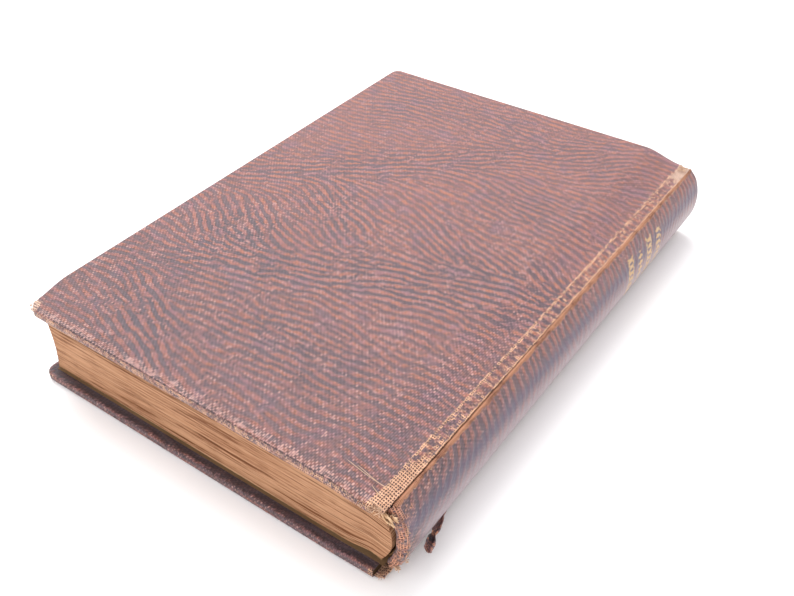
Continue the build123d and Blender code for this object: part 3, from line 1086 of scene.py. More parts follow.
    def _wrap(self, surface: Surface, rim: Array, x: Array, y: Array, depth: Array, flip: bool) -> None:
        """Carry the cloth round the board's three edges and onto its inside.

        Args:
            surface: the mesh.
            rim: indices of the face's rim, from the joint's tail end round to its head end.
            x, y, depth: where the rim lies.
            flip: turn the faces over.
        """
        s = self.sizes
        along_x, along_y = np.gradient(x), np.gradient(y)
        along_x[[0, -1]], along_y[[0, -1]] = (-1, 1), 0
        size = np.hypot(along_x, along_y)
        out_x, out_y = -along_y / size, along_x / size
        maps = self.cloth_map(x, y)
        sense = -1 if self.side is Side.FRONT else 1
        rings = [rim]
        past, last_step = 0.0, (0.0, 0.0)
        for out, down in self.edge_profile():
            past += math.dist((out, down), last_step)
            last_step = (out, down)
            new_maps = maps + np.stack([sense * out_x, out_y], -1) * past / MM
            rings.append(self._lay(
                surface, x + out_x * out, y + out_y * out, depth + down, np.full_like(x, past), new_maps
            ))
        edge_x, edge_y = x + out_x * last_step[0], y + out_y * last_step[0]
        wide, tall = s.joint_x - s.fore_x, s.head_y - s.tail_y
        for inward in (1.5 * MM, 4 * MM, 8 * MM, self.turn_in):
            under_x = s.fore_x + inward + (edge_x - s.fore_x) * (wide - inward) / wide
            under_y = s.tail_y + inward + (edge_y - s.tail_y) * (tall - 2 * inward) / tall
            extra = past + inward
            new_maps = maps + np.stack([sense * out_x, out_y], -1) * extra / MM
            rings.append(self._lay(
                surface, under_x, under_y, self.under_depth(under_x, under_y, last_step[1]),
                np.full_like(x, extra), new_maps
            ))
        surface.skin(np.stack(rings), flip)

    def under_depth(self, x: Array, y: Array, thickness: float) -> Array:
        """Return the depth of the cover's inside, a thickness under its face."""
        inside_x = np.minimum(x, self.sizes.joint_x - 0.01 * MM)
        return self.face_depth(inside_x, y) + thickness

    def layer(
        self, name: str, material: bpy.types.Material, span: tuple[float, float],
        reach: tuple[float, float], depths: tuple[float, float], rounded: float = 0.0,
    ) -> bpy.types.Object:
        """Build one flat layer of the cover as a closed solid that follows its bow.

        Args:
            name: the piece's name.
            material: its finish.
            span: first and last x.
            reach: first and last y.
            depths: outer and inner depth under the face.
            rounded: inset at which the fore corners follow the cover's own corners.

        Returns:
            The layer.
        """
        s = self.sizes
        flat = max(s.joint_x - self.bow_run, span[0])
        columns = np.unique(np.concatenate([np.linspace(span[0], flat, 20), np.linspace(flat, span[1], 14)]))
        rows = np.linspace(reach[0], reach[1], 40)
        if rounded:
            rows = np.unique(np.concatenate([rows, reach[0] + np.linspace(0, 20 * MM, 24)]))
            columns = np.unique(np.concatenate([columns, span[0] + np.linspace(0, 8 * MM, 12)]))
        x, y = np.meshgrid(columns, rows)
        if rounded:
            x, y = self.plan(x - s.fore_x, y - s.tail_y, rounded)
        surface = Surface()
        maps = np.stack([x - s.fore_x, y - s.tail_y], -1) / MM
        sheets = []
        for depth in depths:
            points = np.stack([x, y, self.height(self.under_depth(x, y, depth))], -1)
            # Darker within 7 mm of the fore, tail and head edges: painted shade.
            inside = np.minimum(np.minimum(x - x.min(), y - y.min()), y.max() - y)
            sheets.append(surface.add(points, maps, toned=1 - ease(inside, 0, 7 * MM)))
        outer, inner = sheets
        flip = self.side is Side.FRONT
        surface.skin(outer, flip)
        surface.skin(inner, not flip)
        for edge in (np.s_[0, :], np.s_[:, -1], np.s_[-1, ::-1], np.s_[::-1, 0]):
            surface.skin(np.stack([inner[edge], outer[edge]]), flip)
        return surface.build(name, material, smooth=False)

    def build(self, finishes: "Finishes") -> list[bpy.types.Object]:
        """Build every piece of the cover and dress it.

        Args:
            finishes: the book's materials.

        Returns:
            The cloth, the board, the gauze flange and the pastedown.
        """
        s, name = self.sizes, self.side.value
        cloth = self.build_cloth(finishes.cover_cloth)
        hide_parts(f"{name}_cloth")
        inner = s.cloth + self.board
        slack = 0.02 * MM
        board = self.layer(
            f"{name}_cover_board", finishes.millboard, (s.fore_x + s.cloth + slack, s.joint_x - slack),
            (s.tail_y + s.cloth + slack, s.head_y - s.cloth - slack), (s.cloth + slack, inner - slack),
            rounded=s.cloth,
        )
        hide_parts(f"{name}_board")
        flange = self.layer(
            f"{name}_cover_gauze", finishes.gauze,
            (s.joint_x - self.gauze_on_board, s.joint_x + self.overhang),
            (s.tail_y + self.gauze_short, s.head_y - self.gauze_short), (inner, inner + self.gauze_thickness),
        )
        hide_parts(f"{name}_gauze_flange")
        deep = inner + s.cloth + self.pastedown_thickness
        pastedown = self.layer(
            f"{name}_cover_pastedown", finishes.endpaper,
            (s.fore_x + self.pastedown_margin, s.joint_x + self.overhang),
            (s.tail_y + self.pastedown_margin, s.head_y - self.pastedown_margin),
            (inner + self.gauze_thickness, deep),
        )
        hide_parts(f"{name}_pastedown")
        pieces = [cloth, board, flange, pastedown]
        for piece in pieces:
            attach(piece, self.body)
        return pieces


# ---------------------------------------------------------------------------
# Spine
# ---------------------------------------------------------------------------
@dataclass(frozen=True)
class Spine:
    """The cloth over the round spine, worn away at the tail."""

    sizes: Sizes
    joint_gap: float = 0.2 * MM
    fold: float = 12.0 * MM
    cap: float = 0.8 * MM
    roll: float = 1.5 * MM
    roll_depth: float = 3.9 * MM
    roll_steps: int = 22
    half_arc: float = 13.3 * MM
    title_tail: float = 131.0 * MM
    row_pitch: float = 7.2 * MM
    row_reaches: tuple[float, ...] = (8.6, 7.2, 9.0, 8.2)
    lozenge_pitch: float = 2.3
    card_thickness: float = 0.75 * MM
    crust: float = 0.2 * MM
    flap_run: tuple[tuple[float, float, float], ...] = (
        (65.0, -71.0, 6.4), (66.0, -73.5, 5.3), (66.9, -77.0, 5.1), (67.6, -80.5, 5.0), (68.7, -83.5, 5.2),
    )

    def round(self) -> tuple[float, float, float, float]:
        """Return the round's centre x and z, its radius and half its angle."""
        low, high = self.sizes.spine_low, self.sizes.spine_high
        half = (high.z - low.z) / 2
        edge_x = self.sizes.hinge_x + self.joint_gap
        bulge = high.x - edge_x
        radius = (half**2 + bulge**2) / (2 * bulge)
        return high.x - radius, (high.z + low.z) / 2, radius, math.asin(half / radius)

    def point(self, turn: Array, y: Array, inward: Array) -> Array:
        """Place a point of the spine.

        Args:
            turn: from -1 at the front joint to 1 at the back joint.
            y: place along the spine.
            inward: depth under the outside of the cloth.

        Returns:
            Positions in the frame.
        """
        centre_x, centre_z, radius, half = self.round()
        angle = turn * half
        share = (y - self.sizes.tail_y) / (self.sizes.head_y - self.sizes.tail_y)
        sink = 0.7 * MM * ease(turn, 0.6, 1.0) * ease(share, 0.55, 1.0)
        x = centre_x + (radius - inward) * np.cos(angle) - sink * 0.4
        z = centre_z + (radius - inward) * np.sin(angle) - sink
        return np.stack(np.broadcast_arrays(x, y, z), -1)

    def gilt(self, turn: Array, along: Array) -> Array:
        """Lay out the gilt ornament: four rows of lozenges and short bars.

        Args:
            turn: from -1 at the front joint to 1 at the back joint.
            along: cloth coordinate from the tail, in millimetres.

        Returns:
            How gilt each place is, from 0 to 1.
        """
        across = turn * self.half_arc / MM
        gilt = np.zeros_like(turn)
        for row, reach in enumerate(self.row_reaches):
            near = np.abs(along - (self.title_tail + row * self.row_pitch) / MM)
            step = np.abs((across + 40) % self.lozenge_pitch - self.lozenge_pitch / 2)
            lozenge = ease(near / 2.1 + step / 0.95, 1.2, 0.85)
            bar = ease(np.abs(near - 1.7), 0.45, 0.25) * ease(step, 0.35, 0.6)
            inside = ease(np.abs(across), reach, reach - 0.5)
            gilt = np.maximum(gilt, np.maximum(lozenge, bar * 0.9) * inside)
        return gilt

    def section(self, turn: Array) -> list[tuple[Array, Array]]:
        """Run from inside the head, over the outside, to inside the tail.

        Args:
            turn: where across the spine.

        Returns:
            Place along the spine and depth under the outside, for each step of the run.
        """
        tail, head, cap = self.sizes.spine_low.y, self.sizes.head_y, self.cap
        flat = 0 * turn
        rows = [(head - self.fold * share + flat, cap * 2 + 0.1 * MM + flat) for share in (1.0, 0.55, 0.12)]
        for step in np.linspace(-math.pi / 2, math.pi / 2, 8):
            rows.append((head - cap + cap * math.cos(step) + flat, cap * (1 - math.sin(step)) + flat))
        lumps = 0.35 * MM * Unevenness(31).line(turn, 0.19) + 0.2 * MM * Unevenness(32).line(turn, 0.06)
        start = tail + self.roll + lumps
        for share in np.linspace(0, 1, 170)[1:]:
            rows.append((head - cap + (start - head + cap) * share, flat))
        depth = self.roll_depth - 1.0 * MM * turn**2 + lumps
        for step in np.linspace(0, math.pi, self.roll_steps)[1:]:
            dents = 0.22 * MM * Unevenness(33).area(turn, np.full_like(turn, step), 0.5, 0.22)
            dents = dents * math.sin(step)
            sunk = depth * (1 - math.cos(step)) / 2
            rows.append((start - self.roll * math.sin(step) + dents, sunk - dents))
        rows.append((start + 2.5 * MM, depth * 0.7))
        return rows

    def build(self, finishes: "Finishes") -> list[bpy.types.Object]:
        """Build the spine's cloth, and the card, the glue and the torn flap on it.

        Args:
            finishes: the book's materials.

        Returns:
            The four pieces.
        """
        s = self.sizes
        head = s.head_y
        turn = np.linspace(-1, 1, 110)
        rows = self.section(turn)
        y = np.stack([row[0] for row in rows])
        inward = np.stack([row[1] for row in rows])
        turns = np.broadcast_to(turn, y.shape)
        points = self.point(turns, y, inward)
        _, _, radius, half = self.round()
        half_arc = radius * half / MM
        across = (s.strip_x - s.fore_x) / MM + half_arc - turns * half_arc
        step = np.hypot(np.diff(y, axis=0, prepend=y[:1]), np.diff(inward, axis=0, prepend=inward[:1]))
        along = (head - s.tail_y + self.fold - np.cumsum(step, axis=0)) / MM
        maps = np.stack([across, along], -1)
        order = np.arange(len(rows))[:, None] - (len(rows) - self.roll_steps)
        rolled = ease(order, -9, -1)
        corner = mound(turns, 0.75, 0.3) * mound(order, 3, 11) * 0.7
        bare = np.maximum(mound(order, 1, 3.2) * 0.8, mound(order, 9, 8) * 0.72)
        for worn in (mound(turns, 1.0, 0.035) * 0.8, mound(turns, -1.0, 0.035) * 0.5, corner):
            bare = np.maximum(bare, worn)
        rubbed = np.maximum(mound(turns, 1.0, 0.05) * 0.3, mound(y, head, 1.2 * MM) * 0.6)
        rubbed = np.maximum(rubbed, rolled * 0.55)
        outside = (inward <= 0.001 * MM) & (order < 0)
        surface = Surface()
        grid = surface.add(
            points, maps, **grain_run(across, along, SPINE_SWEEPS), bare=bare, rubbed=rubbed,
            # The rolled-under end of the spine's tail is darkened: painted shade.
            soot=ease(order, 15, 20) * 0.9, pale=0 * bare, gilt=self.gilt(turns, along) * outside,
            # A bluish band along the upper middle of the spine: painted sheen.
            # The lower spine turns pale grey: a painted reflection of the floor.
            violet=mound(turns, 0.36, 0.2) * outside, faded=ease(turns, 0.4, -0.25) * (1 - rolled),
        )
        surface.skin(grid)
        cloth = surface.build("spine_cover_cloth", finishes.spine_cloth)
        thicken(cloth, s.cloth)
        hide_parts("spine_cloth")
        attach(cloth, "book_block")
        return [cloth, self.build_card(finishes), self.build_ridge(finishes), self.build_flap(finishes)]

    def build_card(self, finishes: "Finishes") -> bpy.types.Object:
        """Build the stiff card that the spine's cloth is glued to.

        Args:
            finishes: the book's materials.

        Returns:
            The card.
        """
        low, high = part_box("spine_inlay")
        turn, y = np.meshgrid(np.linspace(-0.94, 0.94, 40), np.linspace(low.y + 1.2 * MM, high.y, 40))
        surface = Surface()
        maps = np.stack([turn * 13, y / MM], -1)
        surface.skin(surface.add(self.point(turn, y, self.sizes.cloth + 0.03 * MM + 0 * y), maps), flip=True)
        card = surface.build("spine_card_inlay", finishes.card)
        thicken(card, self.card_thickness)
        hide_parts("spine_inlay")
        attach(card, "book_block")
        return card

    def build_ridge(self, finishes: "Finishes") -> bpy.types.Object:
        """Build the crust of glue and torn threads along the split joint.

        Args:
            finishes: the book's materials.

        Returns:
            The crust.
        """
        y = np.linspace(self.sizes.spine_low.y + 1.0 * MM, self.sizes.head_y - 1.2 * MM, 420)
        share, along = np.meshgrid(np.linspace(0, 1, 11), y)
        width = 1.0 * MM + 0.3 * MM * Unevenness(41).line(along, 3.7 * MM)
        width += 0.25 * MM * Unevenness(42).line(along, 0.8 * MM)
        tall = 0.24 * MM + 0.12 * MM * Unevenness(43).area(share * 2 * MM, along, 0.6 * MM)
        edge = self.point(np.ones_like(share), along, 0 * share)
        slope = self.round()[3]
        down = np.array([math.sin(slope), 0, -math.cos(slope)])
        out = np.array([math.cos(slope), 0, math.sin(slope)])
        run = np.clip(share * 1.25 - 0.25, 0, 1) * width
        under = np.clip(0.2 - share, 0, 1) * 5 * MM
        lift = tall * np.sin(math.pi * np.clip(share * 0.95, 0, 1)) - 0.05 * MM
        points = edge + run[..., None] * down + lift[..., None] * out
        points += under[..., None] * np.array([-0.9, 0, -0.4])
        shade = Unevenness(44).line(along, 3 * MM) * 0.5 + 0.5
        surface = Surface()
        surface.skin(surface.add(points, np.stack([run, along], -1) / MM, shade=shade))
        ridge = surface.build("joint_glue_ridge", finishes.glue)
        thicken(ridge, self.crust)
        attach(ridge, "book_block")
        return ridge

    def build_flap(self, finishes: "Finishes") -> bpy.types.Object:
        """Build the torn strip of cloth that curls out beside the lower joint.

        Args:
            finishes: the book's materials.

        Returns:
            The strip.
        """
        bend, run = np.meshgrid(np.linspace(-1, 1, 12), np.linspace(0, 1, 40))
        knots = np.array(self.flap_run)
        shares = np.linspace(0, 1, len(knots))
        places = np.stack([np.interp(run, shares, knots[:, axis]) for axis in range(3)], -1)
        wide = 1.5 + 0.5 * Unevenness(46).line(run, 0.12) + 0.6 * ease(run, 0.55, 0.8)
        curl = bend * (1.5 + 0.9 * run)
        places[..., 0] += wide * 0.6 * np.sin(curl) + 0.25 * Unevenness(47).line(run, 0.2)
        places[..., 2] += wide * 0.6 * (1 - np.cos(curl)) + 0.25 * Unevenness(48).line(run, 0.17)
        places[..., 1] += 0.4 * Unevenness(49).line(bend, 0.4) * ease(run, 0.8, 1.0)
        maps = np.stack([150 + wide * bend * 1.3, 12 + run * 18], -1)
        surface = Surface()
        grid = surface.add(
            places * MM, maps, grain_turn=0 * run, press=0 * run, bare=0.42 + 0 * run, rubbed=0.3 + 0 * run,
            soot=mound(run, 0.7, 0.09), pale=0 * run, gilt=0 * run, violet=0 * run, faded=0 * run,
        )
        surface.skin(grid)
        flap = surface.build("torn_joint_flap", finishes.spine_cloth)
        thicken(flap, self.sizes.cloth)
        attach(flap, "book_block")
        return flap


# ---------------------------------------------------------------------------
# Frayed threads and torn paper
# ---------------------------------------------------------------------------
@dataclass(frozen=True)
class Clump:
    """A clump of frayed threads.

    Its place is in millimetres from the fore-edge, the tail and the rest face.
    """

    place: tuple[float, float, float]
    spread: tuple[float, float, float]
    heading: tuple[float, float, float]
    threads: int
    length: float
    curl: float = 0.45
    shade: float = 0.6
    radius: float = 0.09


@dataclass(frozen=True)
class Fray:
    """Frayed threads that stand out of the worn cloth and ride with one body."""

    sizes: Sizes
    name: str
    body: str
    clumps: tuple[Clump, ...]
    seed: int
    lowest: float = 0.15 * MM
    above: float = 0.6 * MM

    def build(self, material: bpy.types.Material) -> bpy.types.Object:
        """Build every clump as one piece of round threads.

        Args:
            material: the thread's finish.

        Returns:
            The piece.
        """
        dice = np.random.default_rng(self.seed)
        origin = np.array([self.sizes.fore_x, self.sizes.tail_y, 0])
        surface = Surface()
        steps = np.linspace(0, 1, 8)[:, None]
        for clump in self.clumps:
            paths, shades = [], []
            for _ in range(clump.threads):
                shift = dice.uniform(-0.5, 0.5, 3) * np.array(clump.spread)
                start = origin + (np.array(clump.place) + shift) * MM
                heading = np.array(clump.heading) + dice.normal(0, clump.curl, 3)
                bend = dice.normal(0, clump.curl, 3)
                twist = dice.normal(0, clump.curl, 3) * 0.5
                length = clump.length * dice.uniform(0.45, 1.15) * MM
                path = start + length * (steps * heading + steps**2 * bend + np.sin(steps * 5) * twist * 0.35)
                path[:, 2] = np.clip(path[:, 2], self.lowest, self.sizes.top_z + self.above)
                paths.append(path)
                shades.append(clump.shade + dice.normal(0, 0.22))
            tubes(surface, paths, clump.radius * MM, np.array(shades))
        piece = surface.build(self.name, material)
        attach(piece, self.body)
        return piece


@dataclass(frozen=True)
class Shreds:
    """Crumpled flakes of torn lining paper at the tail of the joint."""

    sizes: Sizes
    places: tuple[tuple[float, float, float], ...] = (
        (130.2, 2.2, 25.4), (131.2, 2.4, 24.6), (131.9, 2.2, 23.2), (130.6, 1.9, 23.9),
        (132.4, 2.8, 25.0), (129.6, 2.3, 24.4), (131.6, 1.8, 25.6),
    )
    size: float = 1.5
    highest: float = 26.6
    thickness: float = 0.12 * MM
    seed: int = 83

    def build(self, material: bpy.types.Material) -> bpy.types.Object:
        """Build the flakes as one piece.

        Args:
            material: the paper's finish.

        Returns:
            The piece.
        """
        dice = np.random.default_rng(self.seed)
        surface = Surface()
        side = np.linspace(-1, 1, 12)
        u, v = np.meshgrid(side, side)
        origin = np.array([self.sizes.fore_x, self.sizes.tail_y, 0]) / MM
        for number, place in enumerate(self.places):
            ripple = Unevenness(70 + number)
            reach = self.size * dice.uniform(0.7, 1.15)
            a, b = dice.uniform(-0.6, 0.6, 2)
            right, up = np.array([1.0, -0.3, a]), np.array([b, -0.25, 1.0])
            edge = 1 + 0.25 * ripple.line(np.arctan2(v, u), 0.7)
            flat = (u * edge * reach)[..., None] * right * 0.8 + (v * edge * reach)[..., None] * up * 0.7
            crumple = 0.55 * ripple.area(u, v, 0.62) + 0.35 * (u**2 - v**2) * dice.uniform(-1, 1)
            points = origin + np.array(place) + flat + crumple[..., None] * np.array([0.2, -0.7, 0.2])
            points[..., 2] = np.minimum(points[..., 2], self.highest)
            surface.skin(surface.add(points * MM, np.stack([u, v], -1), shade=0.5 + 0 * u))
        piece = surface.build("torn_lining_shreds", material, smooth=False)
        thicken(piece, self.thickness)
        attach(piece, "book_block")
        return piece


# ---------------------------------------------------------------------------
# Pages
# ---------------------------------------------------------------------------
@dataclass(frozen=True)
class Gap:
    """A place where the leaves stand apart: height in the block and its wander."""

    height: float
    wander: float
    depth: float
    seed: int


@dataclass(frozen=True)
class Pages:
    """The sewn pages, rounded and backed, with their leaf edges."""

    sizes: Sizes
    fore_hollow: float = 1.5 * MM
    bow_run: float = 19.7 * MM
    top_fall: float = 2.95 * MM
    bottom_rise: float = 0.6 * MM
    crease: float = 1.1 * MM
    crease_back: float = 3.6 * MM
    back_bulge: float = 3.3 * MM
    rough: float = 0.1 * MM
    gaps: tuple[Gap, ...] = (
        Gap(0.885, 0.030, 0.45, 1), Gap(0.83, 0.022, 0.55, 2), Gap(0.765, 0.028, 0.40, 3),
        Gap(0.70, 0.020, 0.22, 4), Gap(0.60, 0.018, 0.12, 5), Gap(0.47, 0.016, 0.10, 6),
        Gap(0.31, 0.020, 0.22, 7), Gap(0.20, 0.014, 0.14, 8), Gap(0.95, 0.012, 0.25, 9),
    )

    def outline(self, run: Array, rise: Array) -> tuple[Array, Array]:
        """Place a point of the block's section.

        Args:
            run: from 0 at the fore-edge to 1 at the sewn back.
            rise: from 0 at the front leaf to 1 at the back leaf.

        Returns:
            x and z in the frame.
        """
        low, high = self.sizes.pages_low, self.sizes.pages_high
        shoulder_x = high.x - self.back_bulge
        half = 2 * rise - 1
        fore = low.x + self.fore_hollow * (1 - half**2)
        back = high.x - self.back_bulge * half**2
        x = fore + (back - fore) * run
        near = np.clip((x - (shoulder_x - self.bow_run)) / self.bow_run, 0, 1.15)
        top = high.z - self.top_fall * near**2
        dip = self.crease * mound(x, shoulder_x - self.crease_back, 4.5 * MM)
        bottom = low.z + self.bottom_rise * near**2 + dip
        settle = rise + 0.018 * np.sin(math.pi * rise) * ease(near, 0, 1)
        return x, bottom + (top - bottom) * settle

    def gap_marks(self, run: Array, rise: Array, seed: int) -> Array:
        """Work out where the leaves stand apart.

        Args:
            run: places along the face.
            rise: from 0 at the front leaf to 1 at the back leaf.
            seed: picks the face's own gaps.

        Returns:
            How far they stand apart, from 0 to 1.
        """
        found = np.zeros_like(run)
        for gap in self.gaps:
            wander = Unevenness(gap.seed + seed)
            drift = wander.line(run, 0.31) + 0.25 * wander.line(run, 0.06)
            middle = gap.height + gap.wander * drift
            strong = gap.depth * (0.65 + 0.5 * wander.line(run + 9, 0.17))
            found = np.maximum(found, 3.2 * strong * mound(rise, middle, 0.008))
        return np.clip(found, 0, 1)

    def face(
        self, surface: Surface, run: Array, rise: Array, y: Array, push: tuple[float, float, float],
        seed: int, uneven: float, stretch: float = 30.0,
    ) -> None:
        """Add one face of the block, roughened where its leaf edges show.

        Args:
            surface: the mesh.
            run, rise: places in the section.
            y: places along the block.
            push: the direction that the face looks in.
            seed: picks the face's own gaps and steps.
            uneven: how far the leaf edges stand in and out.
            stretch: how long a step is beside its height.
        """
        x, z = self.outline(run, rise)
        cut_across = abs(push[1]) > 0.5
        wide = 130 * MM
        along = (run * wide if cut_across else y - self.sizes.tail_y) / MM + seed * 17.0
        thick = rise * (self.sizes.pages_high.z - self.sizes.pages_low.z) / MM
        gap = 0 * rise
        if uneven:
            gap = self.gap_marks(run if cut_across else y / wide, rise, seed * 20)
        steps = Unevenness(50 + seed).area(along, thick, 1.1, stretch) * 0.5
        steps += Unevenness(60 + seed).area(along, thick, 0.28, stretch) * 0.5
        edge = ease(np.minimum(rise, 1 - rise), 0, 0.012)
        offset = uneven * (steps - 1.0) * edge - 2.2 * uneven * gap * edge
        points = np.stack([x, y, z], -1) + offset[..., None] * np.array(push)
        grid = surface.add(points, np.stack([along, thick], -1), gap=gap)
        surface.skin(grid, flip=push[1] > 0 or push[0] < 0 or push[2] < 0)

    def build(self, finishes: "Finishes") -> list[bpy.types.Object]:
        """Build the block of pages.

        Args:
            finishes: the book's materials.

        Returns:
            The block, in a list.
        """
        low, high = self.sizes.pages_low, self.sizes.pages_high
        surface = Surface()
        runs = np.concatenate([np.linspace(0, 0.85, 110, endpoint=False), np.linspace(0.85, 1, 44)])
        rises = np.linspace(0, 1, 150)
        run, rise = np.meshgrid(runs, rises)
        self.face(surface, run, rise, np.full_like(run, low.y), (0, -1, 0), 0, self.rough)
        self.face(surface, run, rise, np.full_like(run, high.y), (0, 1, 0), 1, self.rough)
        y, rise = np.meshgrid(np.linspace(low.y, high.y, 120), rises)
        self.face(surface, np.zeros_like(y), rise, y, (-1, 0, 0), 2, self.rough)
        y, rise = np.meshgrid(np.linspace(low.y, high.y, 60), np.linspace(0, 1, 60))
        self.face(surface, np.ones_like(y), rise, y, (1, 0, 0), 3, 0.0)
        run, y = np.meshgrid(runs, np.linspace(low.y, high.y, 40))
        self.face(surface, run, np.ones_like(run), y, (0, 0, 1), 4, 0.0)
        self.face(surface, run, np.zeros_like(run), y, (0, 0, -1), 5, 0.0)
        block = surface.build("page_block", finishes.pages)
        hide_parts("text_block")
        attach(block, "book_block")
        return [block]


# ---------------------------------------------------------------------------
# Studio
# ---------------------------------------------------------------------------
@dataclass(frozen=True)
class Studio:
    """Plain pale floor, soft lights and the camera."""

    camera_place: tuple[float, float, float] = (0.14443, -0.20208, 0.20256)
    azimuth: float = 35.57
    elevation: float = 39.18
    roll: float = -0.36
    lens: float = 42.05
    floor_half: float = 3.0

    def camera(self) -> None:
        """Place the camera, looking down on the tail and spine."""
        data = bpy.data.cameras.new("camera")
        data.lens = self.lens
        data.sensor_width = 36.0
        data.clip_start = 0.01
        data.clip_end = 20.0
        camera = bpy.data.objects.new("camera", data)
        turn = math.radians(self.azimuth)
        down = math.radians(self.elevation)
        look = Vector((-math.sin(turn) * math.cos(down), math.cos(turn) * math.cos(down), -math.sin(down)))
        aim = look.to_track_quat("-Z", "Y").to_matrix().to_4x4()
        spin = Matrix.Rotation(math.radians(self.roll), 4, "Z")
        camera.matrix_world = Matrix.Translation(self.camera_place) @ aim @ spin
        bpy.context.scene.collection.objects.link(camera)
        bpy.context.scene.camera = camera

    def light(self, name: str, place: Sequence[float], size: float, power: float) -> None:
        """Hang a large square lamp that faces the book.

        Args:
            name: the lamp's name.
            place: where it hangs.
            size: its side, in metres.
            power: in watts.
        """
        data = bpy.data.lights.new(name, "AREA")
        data.size = size
        data.energy = power
        lamp = bpy.data.objects.new(name, data)
        lamp.location = place
        lamp.rotation_euler = (-Vector(place)).to_track_quat("-Z", "Y").to_euler()
        bpy.context.scene.collection.objects.link(lamp)

    def build(self) -> None:
        """Set up the floor, the lights and the camera."""
        bpy.context.scene.view_settings.view_transform = "Standard"
        world = bpy.data.worlds.new("studio")
        world.use_nodes = True
        world.node_tree.nodes["Background"].inputs["Color"].default_value = (1.0, 0.985, 0.99, 1)
        world.node_tree.nodes["Background"].inputs["Strength"].default_value = 1.0
        bpy.context.scene.world = world
        self.light("key", (-0.5, 0.35, 1.1), 0.9, 16.0)
        self.light("fill", (0.3, -0.9, 0.8), 1.0, 5.0)
        half = self.floor_half
        mesh = bpy.data.meshes.new("floor")
        corners = [(-half, -half, 0), (half, -half, 0), (half, half, 0), (-half, half, 0)]
        mesh.from_pydata(corners, [], [(0, 1, 2, 3)])
        mesh.materials.append(StudioFloor().build())
        floor = bpy.data.objects.new("floor", mesh)
        bpy.context.scene.collection.objects.link(floor)
        self.camera()


# ---------------------------------------------------------------------------
# All the finishes, and the whole book
# ---------------------------------------------------------------------------
@dataclass(frozen=True)
class Finishes:
    """Every material of the book, built once."""

    cover_cloth: bpy.types.Material
    spine_cloth: bpy.types.Material
    pages: bpy.types.Material
    endpaper: bpy.types.Material
    millboard: bpy.types.Material
    card: bpy.types.Material
    lining: bpy.types.Material
    gauze: bpy.types.Material
    thread: bpy.types.Material
    glue: bpy.types.Material
    torn_paper: bpy.types.Material

    @classmethod
    def make(cls) -> "Finishes":
        """Build each finish."""
        return cls(
            cover_cloth=BookCloth().build(),
            spine_cloth=BookCloth(part=Part.SPINE, roughness=0.5, bare=srgb(186, 130, 104)).build(),
            pages=PagePaper().build(),
            endpaper=PlainPaper("endpaper", srgb(158, 128, 94), srgb(132, 98, 66)).build(),
            millboard=PlainPaper("millboard", srgb(110, 84, 58), srgb(80, 58, 38), 400.0).build(),
            card=PlainPaper("spine_card", srgb(116, 92, 62), srgb(84, 60, 38), 300.0).build(),
            lining=PlainPaper("lining_paper", srgb(150, 116, 78), srgb(120, 84, 50), 200.0).build(),
            gauze=Netting().build(),
            thread=Strand("loose_thread", srgb(206, 172, 144), srgb(128, 76, 54)).build(),
            glue=OldGlue().build(),
            torn_paper=PlainPaper("torn_paper", srgb(226, 198, 164), srgb(190, 146, 108), 500.0).build(),
        )


BACK_FRAY = (
    Clump((128.6, 0.7, 28.6), (3.6, 1.2, 0.6), (0.1, -0.2, 0.1), 70, 0.9, shade=0.7),
    Clump((126.0, 0.1, 28.2), (4.0, 0.4, 1.4), (0.3, -0.15, -0.2), 60, 0.8, shade=0.6),
    Clump((2.2, 3.2, 29.4), (0.9, 4.4, 0.7), (-0.1, -0.2, -0.05), 50, 0.5, curl=0.35, shade=0.95),
    Clump((5.0, 0.5, 29.2), (5.0, 0.4, 0.8), (-0.1, -0.1, -0.1), 44, 0.5, curl=0.35, shade=0.95),
    Clump((65.0, 0.1, 29.5), (122.0, 0.3, 0.3), (0.2, -0.2, 0.05), 260, 0.5, 0.45, 0.7, 0.06),
    Clump((130.3, 93.0, 27.95), (0.3, 160.0, 0.1), (0.25, 0.6, 0.0), 90, 0.5, 0.15, 0.8, 0.06),
    Clump((127.2, 93.0, 28.9), (0.5, 176.0, 0.1), (0.0, 0.6, 0.05), 150, 0.9, 0.15, 0.85, 0.06),
    Clump((128.6, 186.5, 27.4), (2.6, 3.4, 0.3), (0.2, 0.3, 0.05), 44, 0.8, shade=1.0),
    Clump((127.5, 6.4, 29.5), (0.2, 0.2, 0.02), (-1.0, 0.03, 0.04), 2, 12.0, 0.03, 1.0, 0.07),
    Clump((128.2, 3.6, 29.2), (0.8, 0.4, 0.02), (-0.9, 0.35, 0.05), 2, 5.0, 0.08, 1.0, 0.07),
)
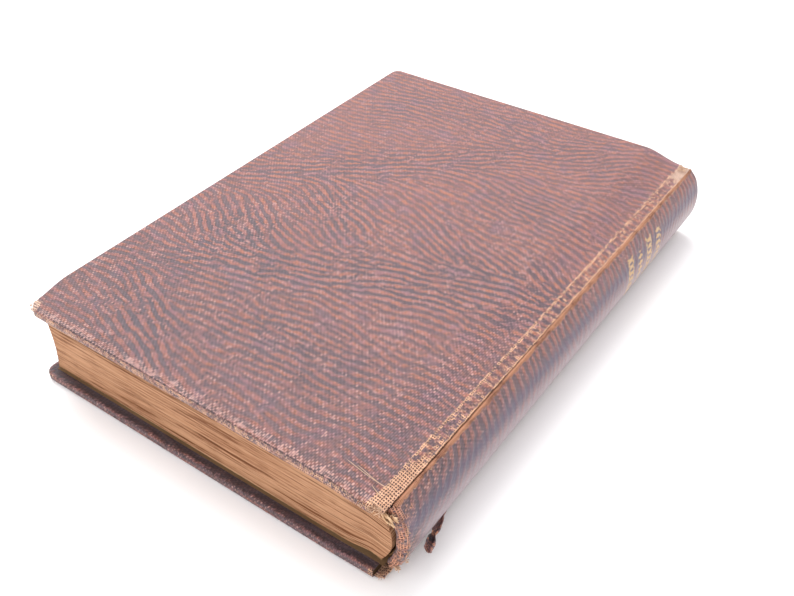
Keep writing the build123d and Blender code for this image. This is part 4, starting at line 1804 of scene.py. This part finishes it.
BLOCK_FRAY = (
    Clump((131.7, 93.0, 26.9), (0.5, 178.0, 0.2), (0.3, 0.6, -0.4), 260, 0.7, 0.2, 0.7, 0.06),
    Clump((132.0, 3.2, 24.8), (1.6, 0.8, 1.8), (0.2, -0.15, -0.1), 50, 0.9, shade=0.55),
    Clump((132.6, 3.6, 4.8), (1.2, 0.6, 1.4), (0.1, -0.1, -0.1), 44, 0.5, shade=0.85),
    Clump((135.0, 4.6, 15.0), (0.7, 1.0, 14.0), (0.1, -0.3, 0.0), 90, 0.5, shade=0.7, radius=0.06),
)
FRONT_FRAY = (
    Clump((129.2, 1.0, 1.6), (1.8, 0.8, 0.7), (0.1, -0.1, 0.05), 34, 0.5, shade=0.6),
    Clump((60.0, 0.1, 2.3), (110.0, 0.2, 0.4), (0.1, -0.2, 0.1), 90, 0.4, shade=0.3, radius=0.06),
)


def dress(node: str, material: bpy.types.Material) -> None:
    """Give a CAD node that shows as it is its finish.

    Args:
        node: the node's name.
        material: its finish.
    """
    mesh = frame["nodes"][node].data
    mesh.materials.clear()
    mesh.materials.append(material)


def main() -> None:
    """Build the studio and every piece of the book, in order."""
    logging.basicConfig(level=logging.INFO, format="%(name)s: %(message)s")
    Studio().build()
    sizes = Sizes.read()
    finishes = Finishes.make()
    back = Cover(
        sizes, Side.BACK, 1.1 * MM, 3.0 * MM, 2.0 * MM, 3.2 * MM, BACK_SWEEPS, worn_corner=True
    )
    front = Cover(
        sizes, Side.FRONT, 0.5 * MM, 0.5 * MM, 2.0 * MM, 2.0 * MM, FRONT_SWEEPS, worn_corner=False
    )
    pieces = back.build(finishes) + front.build(finishes)
    pieces += Spine(sizes).build(finishes)
    pieces += Pages(sizes).build(finishes)
    for fray in (
        Fray(sizes, "back_cover_fray", "back_cover", BACK_FRAY, 7),
        Fray(sizes, "block_fray", "book_block", BLOCK_FRAY, 9),
        Fray(sizes, "front_cover_fray", "front_cover", FRONT_FRAY, 12),
    ):
        pieces.append(fray.build(finishes.thread))
    pieces.append(Shreds(sizes).build(finishes.torn_paper))
    for node, material in {
        "sewing_threads": finishes.thread,
        "spine_gauze": finishes.gauze,
        "spine_lining": finishes.lining,
        "front_flyleaf": finishes.endpaper,
        "back_flyleaf": finishes.endpaper,
    }.items():
        dress(node, material)
    for piece in pieces:
        log.info("%s: %d faces", piece.name, len(piece.data.polygons))
    bpy.context.view_layer.update()


if __name__ == "__main__":
    main()
